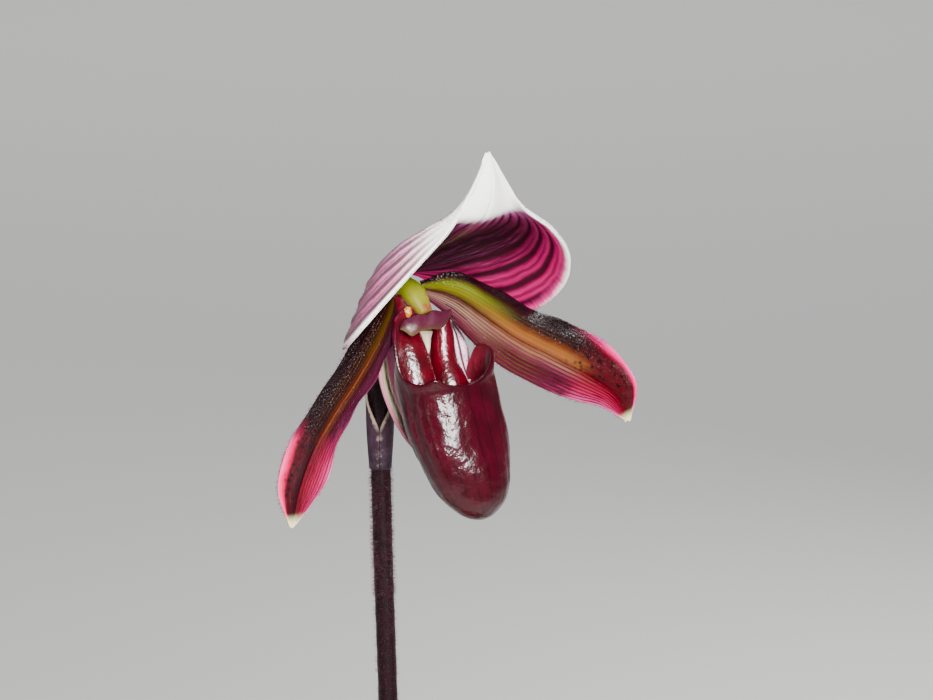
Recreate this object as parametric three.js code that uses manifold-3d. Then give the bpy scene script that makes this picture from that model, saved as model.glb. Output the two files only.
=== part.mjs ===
// A potted slipper orchid: one hooded flower on a slim stalk above two ranks of strap leaves,
// rooted in bark in a plain clay pot. Millimetres, +Z up, origin at the centre of the pot's underside.
import * as THREE from 'three';
import { mergeVertices } from 'three/addons/utils/BufferGeometryUtils.js';
import Module from 'manifold-3d';

const wasm = await Module();
wasm.setup();

const { degToRad: radians, clamp, lerp, smoothstep } = THREE.MathUtils;

const gap = 0.3; // clearance between neighbouring pieces

const pot = {
  height: 104, baseRadius: 40, neckRadius: 55.5, rimRadius: 60, rimHeight: 20,
  wall: 5.5, floor: 7, edge: 1.5, sides: 44,
  holeRadius: 6, holeCircle: 22, holes: 4, holeSides: 16,
};
const bark = {
  top: 91, chips: 52, length: 14, width: 9.5, thickness: 7.5, sunk: 3, seed: 6,
  drawnIn: [0.28, 0.34, 0.4], // how far a corner may stand in along the length, width and thickness
  tilt: 0.3, // furthest tilt from level, in radians
  turn: { hemmedIn: 0.3, free: 3 }, // spread of a chip's turn beside the wall or the leaves, and between them
  innerCircle: 19, // chips start outside the leaf bases
  wallMargin: 5.89, // from the wall to the middle of the outermost chips
};
const rootstock = {
  radius: 12.6, footShare: 0.8, bottom: 74, top: 82, sides: 20,
  roots: 5, rootRadius: 2, rootTip: 1.4, rootLength: 34, rootSlope: 48, rootSides: 7,
  rootCircle: 5.67, rootTop: 78, firstRoot: 0.3,
};
const leafThickness = { midrib: 1.5, margin: 0.8 };
// from the lowest leaf to the youngest: the side it grows from and the way its tip points, its length and
// width, its angle above level where it leaves the stem and at its tip, the radius of its clasping base,
// the length that stands straight up, and its twist
const leaves = [
  { rank: 184, turn: 203, length: 150, width: 35, rise: 44, droop: -36, clasp: 11.6, upright: 15, twist: 5 },
  { rank: 4, turn: -12, length: 158, width: 36, rise: 48, droop: -34, clasp: 10.1, upright: 16, twist: 5 },
  { rank: 184, turn: 170, length: 156, width: 37, rise: 62, droop: -24, clasp: 8.6, upright: 19, twist: -6 },
  { rank: 4, turn: 24, length: 148, width: 35, rise: 66, droop: -18, clasp: 7.1, upright: 20, twist: -5 },
  { rank: 184, turn: 206, length: 116, width: 29, rise: 74, droop: 6, clasp: 5.5, upright: 27, twist: 4 },
  { rank: 4, turn: -8, length: 88, width: 22, rise: 78, droop: 30, clasp: 4, upright: 29, twist: 3 },
];
const leafShape = {
  claspAngle: 84, // how far each half reaches round the stem at the base
  width: [0.5, 0.6, 0.82, 0.97, 1, 0.99, 0.93, 0.72, 0.1], // share of the full width, base to tip
  fold: [60, 56, 44, 33, 26, 22, 20, 18, 16], // angle of each half above flat
  keel: 1.3, // 1 would be a sharp fold along the midrib
  bend: [0.6, 1.6], // where the leaf turns out of the upright, in upright lengths
  opening: 0.8, // where the clasp starts to open, in upright lengths
  opened: 0.3, // share of the leaf in which it opens
  swing: [0.1, 0.8], // shares of the leaf between which it swings round to where its tip points
  steps: 60,
};

const scapeRadius = 2.1;
const scapePath = [
  [0, 0, 82.3], [1.2, 0.2, 132], [1.5, 0.2, 182], [0.7, 0, 226], [-0.1, 0, 254], [-0.6, 0, 280],
];
const ovary = {
  ribs: 6, ribHeight: 0.16,
  path: [[-0.6, 0, 280.4], [-0.6, 0.5, 288], [-0.6, 1, 296], [-0.6, 1.4, 304.5], [-0.2, 0.8, 312],
    [1.5, -1.5, 317.2], [3.4, -3.95, 318.2]],
  radius: [2, 2.2, 2.4, 2.6, 2.6, 2.7, 2.9],
};
const bract = {
  bottom: 277.5, height: 21, radius: [2.75, 3.1, 3.3, 3.5], wall: 0.6,
  slit: 8, // half angle of the slit down its front
  turn: -92, // the way the slit faces
  opening: 0.42, // share of the height where it starts to open
  tipShare: 0.07, // share of its girth that is left at the tip
  narrowing: 1.3,
};

// The flower stands in a frame of its own: across, forward and up, in that order, from its centre,
// turned about the upright and rolled a little to its left.
const flowerCentre = [5, -6, 318];
const flowerTurn = 38;
const flowerRoll = 4;

// Each petal and sepal hangs on three curves from its base to its tip: one margin, the midrib, the other
// margin.
const dorsalSepal = {
  left: [[-2.4, -0.3, 3.2], [-11.5, 1.6, -2.6], [-19, 5, -5.6], [-24.4, 11.4, -5], [-26.2, 19, 0],
    [-22, 24.6, 7.5], [-15.5, 27.4, 14], [-9.4, 29, 19.4], [-4.8, 30.4, 26.5], [-1, 32, 34.2]],
  midrib: [[0, -0.4, 3.9], [0, 1.2, 6.4], [0, 3.8, 9.8], [0, 7.4, 12.8], [0, 11.5, 15.5],
    [0, 15.9, 17.9], [0, 20.2, 20.3], [0, 24.5, 23], [-0.2, 28.6, 27.6], [-0.6, 31.8, 34.4]],
  right: [[2.4, -0.3, 3.2], [11.8, 1.4, -3.4], [20.5, 4.6, -8], [28.2, 8.4, -8.6], [31.4, 14.6, -2.6],
    [28.4, 20.4, 5.2], [20.4, 25.2, 13.2], [11, 28.2, 20], [4.6, 30.2, 27.5], [-0.2, 32, 34.2]],
};
const rightPetal = {
  upper: [[3.4, 0.7, 1.3], [10.5, 4.4, 2.3], [18.5, 7.2, -2.7], [26.5, 9.3, -8.4], [35, 11, -13],
    [43.2, 12.8, -18.8], [49.7, 14.4, -28], [47.2, 15.5, -36.4]],
  midrib: [[3.9, 0.9, -0.2], [8, 6.4, -1.6], [14, 9.6, -6.9], [20.6, 11.3, -12.5], [28.5, 12.5, -17.8],
    [37, 13.8, -23.6], [44, 15, -30], [46.7, 15.5, -36.8]],
  lower: [[3.4, 1.2, -1.7], [6.4, 6.4, -6], [11.4, 8.8, -13], [17.7, 10.3, -19.2], [24.8, 11.6, -24.2],
    [32.3, 13, -28.7], [39.8, 14.3, -31.8], [46.2, 15.5, -36.6]],
};
const leftPetal = {
  upper: [[-3.4, 0.7, 1.3], [-11.5, 4.3, -0.2], [-18.8, 7.1, -5.2], [-26, 9.2, -10.6], [-34, 11.3, -16],
    [-42, 13.6, -22.2], [-45.4, 15, -29.5], [-43.8, 15.5, -37.2]],
  midrib: [[-3.9, 0.9, -0.2], [-9, 6.2, -2.4], [-15.4, 9.4, -7], [-22, 11.4, -12], [-29.3, 13.1, -17.3],
    [-36, 14.7, -22.8], [-41, 15.7, -30], [-43.3, 15.5, -37.7]],
  lower: [[-3.4, 1.2, -1.7], [-7.6, 5.9, -5.4], [-12.8, 8.7, -10.6], [-18.5, 10.6, -15], [-24.7, 12.2, -19],
    [-29.8, 13.6, -24.5], [-34.5, 14.8, -31.5], [-42.8, 15.5, -37.4]],
};
const synsepal = {
  left: [[-2.2, -0.3, -3.2], [-6.5, 0.6, -8], [-9, 2.4, -15], [-8.6, 3.6, -22], [-5.5, 4.8, -30],
    [-0.8, 6, -37]],
  midrib: [[0, -0.8, -3.9], [0, -2.5, -9], [0, -2.7, -15], [0, -1.2, -22], [0, 2, -30], [0, 6, -37.2]],
  right: [[2.2, -0.3, -3.2], [6.5, 0.6, -8], [9, 2.4, -15], [8.6, 3.6, -22], [5.5, 4.8, -30], [0.8, 6, -37]],
};
const petalThickness = { midrib: 1.1, margin: 0.7 };

const pouch = {
  toe: -46.4, neck: -17, wall: 0.9, across: -0.3, sides: 36, levels: 10,
  lowest: 0.04, crowding: 1.6, // share of the lowest ring, and how the rings crowd towards the toe
  // height of the rim, every 20 degrees from the back round its left side, front and right side to the back
  rim: [-3.6, -4.8, -7.5, -11.5, -15.6, -16.5, -13.6, -14.3, -16, -15.9,
    -15.6, -13.8, -9.8, -12.8, -17, -12.5, -7.5, -4.8, -3.6],
  // half width, half depth and forward place of the bag, from the toe to the neck
  halfWidth: [8.8, 9.8, 10.8, 11.3, 11.2, 10.7],
  halfDepth: [7.4, 8, 8.5, 8.8, 8.6, 8.2],
  forward: [20.2, 19.1, 17.7, 16.2, 14.7, 13.3],
  toeRoundness: 2.1, toeShare: 0.4,
  // the same for the claw that runs back to the column above the neck, behind the ears
  clawReach: 0.7,
  clawSide: [72, 100], // degrees round from the front where the ear passes into the claw
  clawWidth: [10.7, 9, 6.6, 4.2],
  clawDepth: [8.2, 6.4, 4.2, 2.2],
  clawForward: [13.3, 9.8, 6.2, 3.2],
  earLean: { left: 11.6, right: 2.6, forward: 2.6 }, // how far the ears and the front lean out with rise
};
// the folded-in side lobes: centre line, half width and half depth
const sideLobe = {
  path: [[2.9, 2.6, -5.4], [4.2, 5, -10], [4.9, 7.4, -15], [4.9, 9.4, -21], [4.4, 11, -26]],
  halfWidth: [2.2, 3.7, 4.5, 4.5, 3.6],
  halfDepth: [1.8, 3.1, 3.8, 3.9, 3.2],
};
const column = {
  path: [[0, -1, 0.3], [0, 2.8, -0.5], [0, 6.6, -4]],
  radius: [2.7, 2.6, 1.7],
};
const staminode = {
  halfWidth: 6.4, top: -3.7, crown: 0.9, droop: 3.6, lobe: 1, tipLift: 1.4,
  forward: 8.4, lean: 1.8, bow: 0.9, thickness: 0.8,
};
const anther = { across: 3.3, forward: 5.4, up: -2.9, radius: 0.95, length: 1.25 };

// rows along and columns across each blade, and the share of its length where it is cut off
const grids = {
  leaf: { rows: 18, columns: 4, end: 0.985 },
  dorsalSepal: { rows: 20, columns: 12, end: 0.99 },
  petal: { rows: 20, columns: 6, end: 0.99 },
  synsepal: { rows: 12, columns: 6, end: 0.99 },
  bract: { rows: 10, columns: 16, end: 1 },
  staminode: { rows: 4, columns: 12, end: 1 },
};
// steps along and sides round each tube
const sections = {
  scape: { steps: 18, sides: 10 },
  ovary: { steps: 14, sides: 18 },
  column: { steps: 6, sides: 14 },
  sideLobe: { steps: 8, sides: 14 },
};

// Geometry helpers

const vector = ([x, y, z]) => new THREE.Vector3(x, y, z);
const flowerPoint = ([across, forward, up]) => new THREE.Vector3(across, -forward, up);

function curve(points, toVector = vector) {
  return new THREE.CatmullRomCurve3(points.map(toVector), false, 'catmullrom', 0.5);
}

const pointAt = (path, share) => path.getPoint(clamp(share, 0, 1));

// a smooth run of numbers through evenly spaced values
function run(values) {
  const path = curve(values.map((value) => [value, 0, 0]));
  return (share) => pointAt(path, share).x;
}

// seeded random numbers from 0 to 1
function randomNumbers(seed) {
  let state = seed;
  return () => {
    state = (state * 1664525 + 1013904223) % 4294967296;
    return state / 4294967296;
  };
}

function volumeOf(points, faces) {
  let sum = 0;
  for (const [a, b, c] of faces) sum += points[a].dot(points[b].clone().cross(points[c]));
  return sum / 6;
}

// a closed mesh with its faces turned outwards
function closedMesh(points, faces) {
  const outward = volumeOf(points, faces) > 0 ? faces : faces.map(([a, b, c]) => [a, c, b]);
  const geometry = new THREE.BufferGeometry().setFromPoints(points);
  geometry.setIndex(outward.flat());
  return geometry;
}

// a skin through rings of points, closed by a fan at each end
function loft(rings) {
  const sides = rings[0].length;
  const points = rings.flat();
  const faces = [];
  for (let ring = 0; ring < rings.length - 1; ring++) {
    for (let side = 0; side < sides; side++) {
      const a = ring * sides + side;
      const b = ring * sides + (side + 1) % sides;
      faces.push([a, b, b + sides], [a, b + sides, a + sides]);
    }
  }
  const centreOf = (ring) => ring.reduce((sum, p) => sum.add(p), new THREE.Vector3()).divideScalar(sides);
  const last = (rings.length - 1) * sides;
  points.push(centreOf(rings[0]), centreOf(rings[rings.length - 1]));
  for (let side = 0; side < sides; side++) {
    const next = (side + 1) % sides;
    faces.push([points.length - 2, next, side], [points.length - 1, last + side, last + next]);
  }
  return closedMesh(points, faces);
}

// a tube along a curve, its section an ellipse or a ribbed circle
function tube(path, { steps, sides }, halfWidth, halfDepth = halfWidth, rib = () => 1) {
  const frames = path.computeFrenetFrames(steps, false);
  const rings = [];
  for (let step = 0; step <= steps; step++) {
    const share = step / steps;
    const centre = path.getPointAt(share);
    const across = new THREE.Vector3(1, 0, 0).projectOnPlane(frames.tangents[step]).normalize();
    const away = frames.tangents[step].clone().cross(across);
    rings.push(Array.from({ length: sides }, (_, side) => {
      const angle = side / sides * 2 * Math.PI;
      return centre.clone()
        .addScaledVector(across, halfWidth(share) * rib(angle) * Math.cos(angle))
        .addScaledVector(away, halfDepth(share) * rib(angle) * Math.sin(angle));
    }));
  }
  return loft(rings);
}

// a thin blade on both sides of a surface, its two faces split into triangles alike
function blade(surface, { rows, columns, end }, thickness) {
  const points = [];
  const step = 1e-3;
  for (const side of [1, -1]) {
    for (let row = 0; row <= rows; row++) {
      for (let column = 0; column <= columns; column++) {
        const s = row / rows * end;
        const t = column / columns * 2 - 1;
        const along = surface(s + step, t).sub(surface(s - step, t));
        const over = surface(s, t + step).sub(surface(s, t - step));
        const normal = along.cross(over).normalize();
        points.push(surface(s, t).addScaledVector(normal, side * thickness(t) / 2));
      }
    }
  }
  const width = columns + 1;
  const half = (rows + 1) * width;
  const faces = [];
  for (let row = 0; row < rows; row++) {
    for (let column = 0; column < columns; column++) {
      const a = row * width + column;
      faces.push([a, a + 1, a + width], [a + 1, a + width + 1, a + width]);
      faces.push([half + a, half + a + width, half + a + 1]);
      faces.push([half + a + 1, half + a + width, half + a + width + 1]);
    }
  }
  const rim = (a, b) => faces.push([a, half + b, b], [a, half + a, half + b]);
  for (let row = 0; row < rows; row++) {
    rim((row + 1) * width, row * width);
    rim(row * width + columns, (row + 1) * width + columns);
  }
  for (let column = 0; column < columns; column++) {
    rim(column, column + 1);
    rim(rows * width + column + 1, rows * width + column);
  }
  return closedMesh(points, faces);
}

const taper = ({ midrib, margin }) => (t) => midrib + (margin - midrib) * t * t;

function toSolid(geometry) {
  const bare = geometry.clone();
  bare.deleteAttribute('normal');
  bare.deleteAttribute('uv');
  const merged = mergeVertices(bare, 1e-4);
  return new wasm.Manifold(new wasm.Mesh({
    numProp: 3,
    vertProperties: new Float32Array(merged.attributes.position.array),
    triVerts: new Uint32Array(merged.index.array),
  }));
}

function toGeometry(solid) {
  const { vertProperties, triVerts } = solid.getMesh();
  const geometry = new THREE.BufferGeometry();
  geometry.setAttribute('position', new THREE.BufferAttribute(vertProperties, 3));
  geometry.setIndex(new THREE.BufferAttribute(triVerts, 1));
  return geometry;
}

function piece(name, geometry, colour, roughness) {
  geometry.computeVertexNormals();
  const material = new THREE.MeshStandardMaterial({ color: colour, roughness, metalness: 0 });
  const mesh = new THREE.Mesh(geometry, material);
  mesh.name = name;
  return mesh;
}

// The pot: a tapered clay wall with a collar at the rim, and drainage holes round the solid middle of
// its floor

const collarFoot = pot.height - pot.rimHeight;
const wallInside = (z) => lerp(pot.baseRadius, pot.rimRadius, z / pot.height) - pot.wall;

function potGeometry() {
  const profile = [
    [0, 0], [pot.baseRadius - pot.edge, 0], [pot.baseRadius, pot.edge],
    [pot.neckRadius, collarFoot - pot.edge], [pot.rimRadius - 2 * pot.edge, collarFoot],
    [pot.rimRadius - pot.edge, collarFoot + pot.edge],
    [pot.rimRadius, pot.height - pot.edge], [pot.rimRadius - pot.edge, pot.height],
    [wallInside(pot.height) + pot.edge, pot.height], [wallInside(pot.height), pot.height - pot.edge],
    [wallInside(pot.floor + pot.edge), pot.floor + pot.edge], [wallInside(pot.floor) - pot.edge, pot.floor],
    [0, pot.floor],
  ];
  const shell = new THREE.LatheGeometry(profile.map(([r, z]) => new THREE.Vector2(r, z)), pot.sides);
  let solid = toSolid(shell.rotateX(Math.PI / 2));
  for (let hole = 0; hole < pot.holes; hole++) {
    const angle = (hole + 0.5) / pot.holes * 2 * Math.PI;
    const drill = new THREE.CylinderGeometry(pot.holeRadius, pot.holeRadius, pot.floor * 3, pot.holeSides);
    drill.rotateX(Math.PI / 2);
    drill.translate(pot.holeCircle * Math.cos(angle), pot.holeCircle * Math.sin(angle), 0);
    solid = solid.subtract(toSolid(drill));
  }
  return toGeometry(solid);
}

// The rootstock: the short stem under the leaves, with thick roots; grown by a clearance it cuts its own hole

function rootstockSolid(clearance) {
  const { radius, footShare, bottom, top, sides, roots, rootRadius, rootTip, rootSides } = rootstock;
  const height = top - bottom + clearance;
  const disc = new THREE.CylinderGeometry(radius + clearance, radius * footShare + clearance, height, sides);
  disc.rotateX(Math.PI / 2).translate(0, 0, top - height / 2);
  let solid = toSolid(disc);
  for (let root = 0; root < roots; root++) {
    const length = rootstock.rootLength + clearance;
    const cone = new THREE.CylinderGeometry(rootRadius + clearance, rootTip + clearance, length, rootSides);
    cone.translate(0, -length / 2, 0);
    cone.rotateZ(radians(90 - rootstock.rootSlope));
    cone.rotateX(Math.PI / 2);
    cone.translate(rootstock.rootCircle, 0, rootstock.rootTop);
    cone.rotateZ((root + rootstock.firstRoot) / roots * 2 * Math.PI);
    solid = solid.add(toSolid(cone));
  }
  return solid;
}

// the hole in the bark that the rootstock and the leaf bases stand in
function plantHole() {
  const depth = bark.top + bark.thickness * 2 - rootstock.bottom;
  const radius = rootstock.radius + gap;
  const shaft = new THREE.CylinderGeometry(radius, radius, depth, rootstock.sides).rotateX(Math.PI / 2);
  return rootstockSolid(gap).add(toSolid(shaft.translate(0, 0, rootstock.top + depth / 2)));
}

// The growing medium: a plug of bark that fills the pot, with loose chips standing out of its top

function barkChip(random) {
  const chip = new THREE.BoxGeometry(bark.length, bark.width, bark.thickness);
  const corners = mergeVertices(chip.deleteAttribute('normal').deleteAttribute('uv'));
  const position = corners.attributes.position;
  const kept = (axis) => 1 - bark.drawnIn[axis] * (1 - random());
  for (let corner = 0; corner < position.count; corner++) {
    position.setX(corner, position.getX(corner) * kept(0));
    position.setY(corner, position.getY(corner) * kept(1));
    position.setZ(corner, position.getZ(corner) * kept(2));
  }
  return corners;
}

function growingMediumGeometry() {
  const random = randomNumbers(bark.seed);
  const foot = pot.floor + gap;
  const outline = [
    [0, foot], [wallInside(foot) - pot.edge - gap, foot],
    [wallInside(foot + pot.edge) - gap, foot + pot.edge], [wallInside(bark.top) - gap, bark.top],
    [0, bark.top],
  ];
  const plug = new THREE.LatheGeometry(outline.map(([r, z]) => new THREE.Vector2(r, z)), pot.sides);
  let solid = toSolid(plug.rotateX(Math.PI / 2));
  const outerCircle = wallInside(bark.top) - gap - bark.wallMargin;
  const goldenAngle = Math.PI * (3 - Math.sqrt(5));
  for (let index = 0; index < bark.chips; index++) {
    const share = (index + 0.5) / bark.chips;
    const radius = Math.sqrt(lerp(bark.innerCircle ** 2, outerCircle ** 2, share));
    const hemmedIn = radius > outerCircle - bark.length / 2 || radius < bark.innerCircle + bark.length / 2;
    const chip = barkChip(random);
    chip.rotateX((random() - 0.5) * 2 * bark.tilt);
    chip.rotateY((random() - 0.5) * bark.tilt);
    chip.rotateZ(Math.PI / 2 + (random() - 0.5) * (hemmedIn ? bark.turn.hemmedIn : bark.turn.free));
    chip.translate(radius, 0, bark.top + bark.thickness / 2 - bark.sunk - random());
    chip.rotateZ(index * goldenAngle);
    solid = solid.add(toSolid(chip));
  }
  return toGeometry(solid.subtract(plantHole()));
}

// Leaves: folded and clasping at the base, then a keeled strap that arches over

function leafSurface(leaf) {
  const widthAt = run(leafShape.width);
  const foldAt = run(leafShape.fold);
  const { claspAngle, keel, bend, opening, opened, swing, steps } = leafShape;
  const upright = leaf.upright / leaf.length;
  const slopeAt = (s) => {
    const free = Math.max(0, s - upright) / (1 - upright);
    const bent = smoothstep(s, upright * bend[0], upright * bend[1]);
    return radians(lerp(90, lerp(leaf.rise, leaf.droop, free), bent));
  };
  const spine = [new THREE.Vector3(leaf.clasp, 0, rootstock.top + gap)];
  for (let step = 0; step < steps; step++) {
    const slope = slopeAt((step + 0.5) / steps);
    const length = leaf.length / steps;
    const move = new THREE.Vector3(Math.cos(slope), 0, Math.sin(slope)).multiplyScalar(length);
    spine.push(spine[step].clone().add(move));
  }
  const path = new THREE.CatmullRomCurve3(spine, false, 'catmullrom', 0.5);
  return (s, t) => {
    const slope = slopeAt(clamp(s, 0, 1));
    const fold = radians(foldAt(s));
    const half = leaf.width / 2 * widthAt(s);
    const twist = radians(leaf.twist) * s;
    // the base clasps the stem in an arc, which opens into the keeled strap
    const open = smoothstep(s, upright * opening, upright * opening + opened);
    const arc = radians(claspAngle) * t;
    const sideways = lerp(leaf.clasp * Math.sin(arc), half * Math.cos(fold) * t, open);
    const folded = half * Math.sin(fold) * Math.abs(t) ** keel;
    const height = lerp(leaf.clasp * (1 - Math.cos(arc)), folded, open);
    const out = new THREE.Vector3(
      -Math.sin(slope) * (height * Math.cos(twist) + sideways * Math.sin(twist)),
      sideways * Math.cos(twist) - height * Math.sin(twist),
      Math.cos(slope) * (height * Math.cos(twist) + sideways * Math.sin(twist)));
    const turn = lerp(leaf.rank, leaf.turn, smoothstep(s, ...swing));
    return pointAt(path, s).add(out).applyAxisAngle(new THREE.Vector3(0, 0, 1), radians(turn));
  };
}

// The stalk, the seed vessel at its top and the bract that sheathes their joint

function scapeGeometry() {
  return tube(curve(scapePath), sections.scape, () => scapeRadius);
}

function ovaryGeometry() {
  const ribs = (angle) => 1 + ovary.ribHeight * (Math.cos(angle * ovary.ribs) - 1) / 2;
  return tube(curve(ovary.path), sections.ovary, run(ovary.radius), run(ovary.radius), ribs);
}

function bractSurface(s, t) {
  const climb = Math.max(0, s - bract.opening) / (1 - bract.opening);
  const halfAngle = (180 - bract.slit) * lerp(1, bract.tipShare, climb ** bract.narrowing);
  const angle = radians(bract.turn + 180 + t * halfAngle);
  const radius = run(bract.radius)(s);
  const z = bract.bottom + s * bract.height;
  // the axis leans back with the lower stretch of the ovary
  const [foot, , lean] = ovary.path;
  const back = Math.max(0, z - foot[2]) / (lean[2] - foot[2]) * (lean[1] - foot[1]);
  return new THREE.Vector3(foot[0] + radius * Math.cos(angle), back + radius * Math.sin(angle), z);
}

// The flower

function petalSurface(rails) {
  const curves = rails.map((points) => curve(points, flowerPoint));
  return (s, t) => {
    const [a, m, b] = curves.map((path) => pointAt(path, s));
    m.multiplyScalar(1 - t * t);
    return m.addScaledVector(b, (t * t + t) / 2).addScaledVector(a, (t * t - t) / 2);
  };
}

// one point of the slipper's outer skin: degrees round from the back, and share of the way up from the toe
function pouchPoint(degrees, share) {
  const rim = run(pouch.rim)((degrees + 180) / 360);
  const up = pouch.toe + (rim - pouch.toe) * share ** pouch.crowding;
  const level = (up - pouch.toe) / (pouch.neck - pouch.toe);
  const angle = radians(degrees);
  const low = Math.min(level, 1);
  const n = pouch.toeRoundness;
  const round = (1 - (1 - Math.min(1, low / pouch.toeShare)) ** n) ** (1 / n);
  let width = round * run(pouch.halfWidth)(low);
  let depth = round * run(pouch.halfDepth)(low);
  let forward = run(pouch.forward)(low);
  if (level > 1) {
    const rise = level - 1;
    const back = smoothstep(Math.abs(degrees), ...pouch.clawSide);
    const claw = rise / pouch.clawReach;
    width += rise * (degrees < 0 ? pouch.earLean.left : pouch.earLean.right);
    depth += rise * pouch.earLean.forward;
    width = lerp(width, run(pouch.clawWidth)(claw), back);
    depth = lerp(depth, run(pouch.clawDepth)(claw), back);
    forward = lerp(forward, run(pouch.clawForward)(claw), back);
  }
  return flowerPoint([pouch.across + width * Math.sin(angle), forward + depth * Math.cos(angle), up]);
}

function pouchGeometry() {
  const { sides, levels } = pouch;
  const shares = Array.from({ length: levels }, (_, level) => (level + 1) / levels);
  const outer = [];
  const inner = [];
  for (const share of [pouch.lowest, ...shares]) {
    const ring = [];
    const lining = [];
    for (let side = 0; side < sides; side++) {
      const degrees = side / sides * 360 - 180;
      const point = pouchPoint(degrees, share);
      const around = pouchPoint(degrees + 1, share).sub(pouchPoint(degrees - 1, share));
      const upward = pouchPoint(degrees, share).sub(pouchPoint(degrees, share - 0.02));
      ring.push(point);
      lining.push(point.clone().addScaledVector(upward.cross(around).normalize(), -pouch.wall));
    }
    outer.push(ring);
    inner.unshift(lining);
  }
  let solid = toSolid(loft([...outer, ...inner]));
  for (const side of [1, -1]) {
    const mirrored = ([across, forward, up]) => flowerPoint([pouch.across + across * side, forward, up]);
    const path = curve(sideLobe.path, mirrored);
    const lobe = tube(path, sections.sideLobe, run(sideLobe.halfWidth), run(sideLobe.halfDepth));
    solid = solid.add(toSolid(lobe));
  }
  return toGeometry(solid);
}

function staminodeSurface(s, t) {
  const { halfWidth, top, crown, droop, lobe, tipLift, forward, lean, bow } = staminode;
  const upper = top - crown * t * t;
  const lower = top - droop - lobe * Math.sin(Math.abs(t) * Math.PI) ** 2 + tipLift * Math.abs(t) ** 3;
  return flowerPoint([halfWidth * t, forward + lean * s - bow * t * t, lerp(upper, lower, s)]);
}

function antherGeometry(side) {
  const bead = mergeVertices(new THREE.IcosahedronGeometry(anther.radius, 1));
  bead.scale(1, 1, anther.length);
  const place = flowerPoint([anther.across * side, anther.forward, anther.up]);
  return bead.translate(place.x, place.y, place.z);
}

// Assembly

const orchid = new THREE.Group();
orchid.add(
  piece('pot', potGeometry(), '#b5663f', 0.9),
  piece('growing_medium', growingMediumGeometry(), '#6b4428', 0.95),
  piece('rootstock', toGeometry(rootstockSolid(0)), '#7d7a3f', 0.8),
);
leaves.forEach((leaf, index) => {
  const geometry = blade(leafSurface(leaf), grids.leaf, taper(leafThickness));
  orchid.add(piece(`leaf_${index + 1}`, geometry, '#4f7a45', 0.45));
});
orchid.add(
  piece('scape', scapeGeometry(), '#4a1f33', 0.8),
  piece('ovary', ovaryGeometry(), '#451a2c', 0.8),
  piece('bract', blade(bractSurface, grids.bract, () => bract.wall), '#6d4a66', 0.7),
);

const flower = new THREE.Group();
flower.position.set(...flowerCentre);
flower.rotation.set(0, radians(-flowerRoll), radians(flowerTurn), 'ZYX');
const petalTaper = taper(petalThickness);
const petals = [
  ['dorsal_sepal', Object.values(dorsalSepal), grids.dorsalSepal, '#e8a9c8'],
  ['petal_left', Object.values(leftPetal), grids.petal, '#8d1238'],
  ['petal_right', Object.values(rightPetal), grids.petal, '#8d1238'],
  ['synsepal', Object.values(synsepal), grids.synsepal, '#c9cfa6'],
];
for (const [name, rails, grid, colour] of petals) {
  flower.add(piece(name, blade(petalSurface(rails), grid, petalTaper), colour, 0.5));
}
flower.add(
  piece('pouch', pouchGeometry(), '#6e0a22', 0.25),
  piece('column', tube(curve(column.path, flowerPoint), sections.column, run(column.radius)), '#9fb03a', 0.5),
  piece('staminode', blade(staminodeSurface, grids.staminode, () => staminode.thickness), '#a0566f', 0.5),
  piece('anther_left', antherGeometry(-1), '#c07a2c', 0.5),
  piece('anther_right', antherGeometry(1), '#c07a2c', 0.5),
);
orchid.add(flower);

export default orchid;
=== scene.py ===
import math
import random
from functools import partial

import bmesh
import bpy
from mathutils import Matrix, Vector, noise


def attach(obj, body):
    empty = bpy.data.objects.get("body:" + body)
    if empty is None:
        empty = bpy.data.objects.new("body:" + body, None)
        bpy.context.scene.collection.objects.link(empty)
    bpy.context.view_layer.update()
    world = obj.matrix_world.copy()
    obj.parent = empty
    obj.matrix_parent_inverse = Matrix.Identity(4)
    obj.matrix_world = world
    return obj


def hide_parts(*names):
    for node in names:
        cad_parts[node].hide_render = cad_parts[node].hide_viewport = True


# A slipper orchid in flower, with mottled leaves, in bark in a plain clay pot.
# Shapes are worked out in millimetres and turned to metres when a piece is finished.

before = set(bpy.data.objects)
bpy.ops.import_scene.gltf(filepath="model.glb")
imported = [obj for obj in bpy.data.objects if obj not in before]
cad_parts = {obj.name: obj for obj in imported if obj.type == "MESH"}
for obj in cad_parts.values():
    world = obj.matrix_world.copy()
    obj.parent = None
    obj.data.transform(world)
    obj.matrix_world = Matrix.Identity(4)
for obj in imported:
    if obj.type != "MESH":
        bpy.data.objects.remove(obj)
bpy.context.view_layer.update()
print("frame loaded,", len(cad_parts), "nodes")

mm = 0.001
perMm = 1000    # divided by a feature's size in mm, the Scale of a texture on Object coordinates

flower = {"centre": (5, -6, 318), "turn": 38, "roll": 4}


# Camera, lights and floor

shot = {
    "width": 933, "height": 700, "flowerX": 405, "flowerY": 290,   # the photo's frame, in pixels
    "mmPerPixel": 0.21, "elevation": 14, "distance": 650, "sensor": 36, "clip": (0.05, 40),
}


def placeObject(name, data):
    made = bpy.data.objects.new(name, data)
    bpy.context.scene.collection.objects.link(made)
    return made


def meshFrom(name, work):
    # a bmesh that is done with becomes a mesh
    mesh = bpy.data.meshes.new(name)
    work.to_mesh(mesh)
    work.free()
    return mesh


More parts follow.
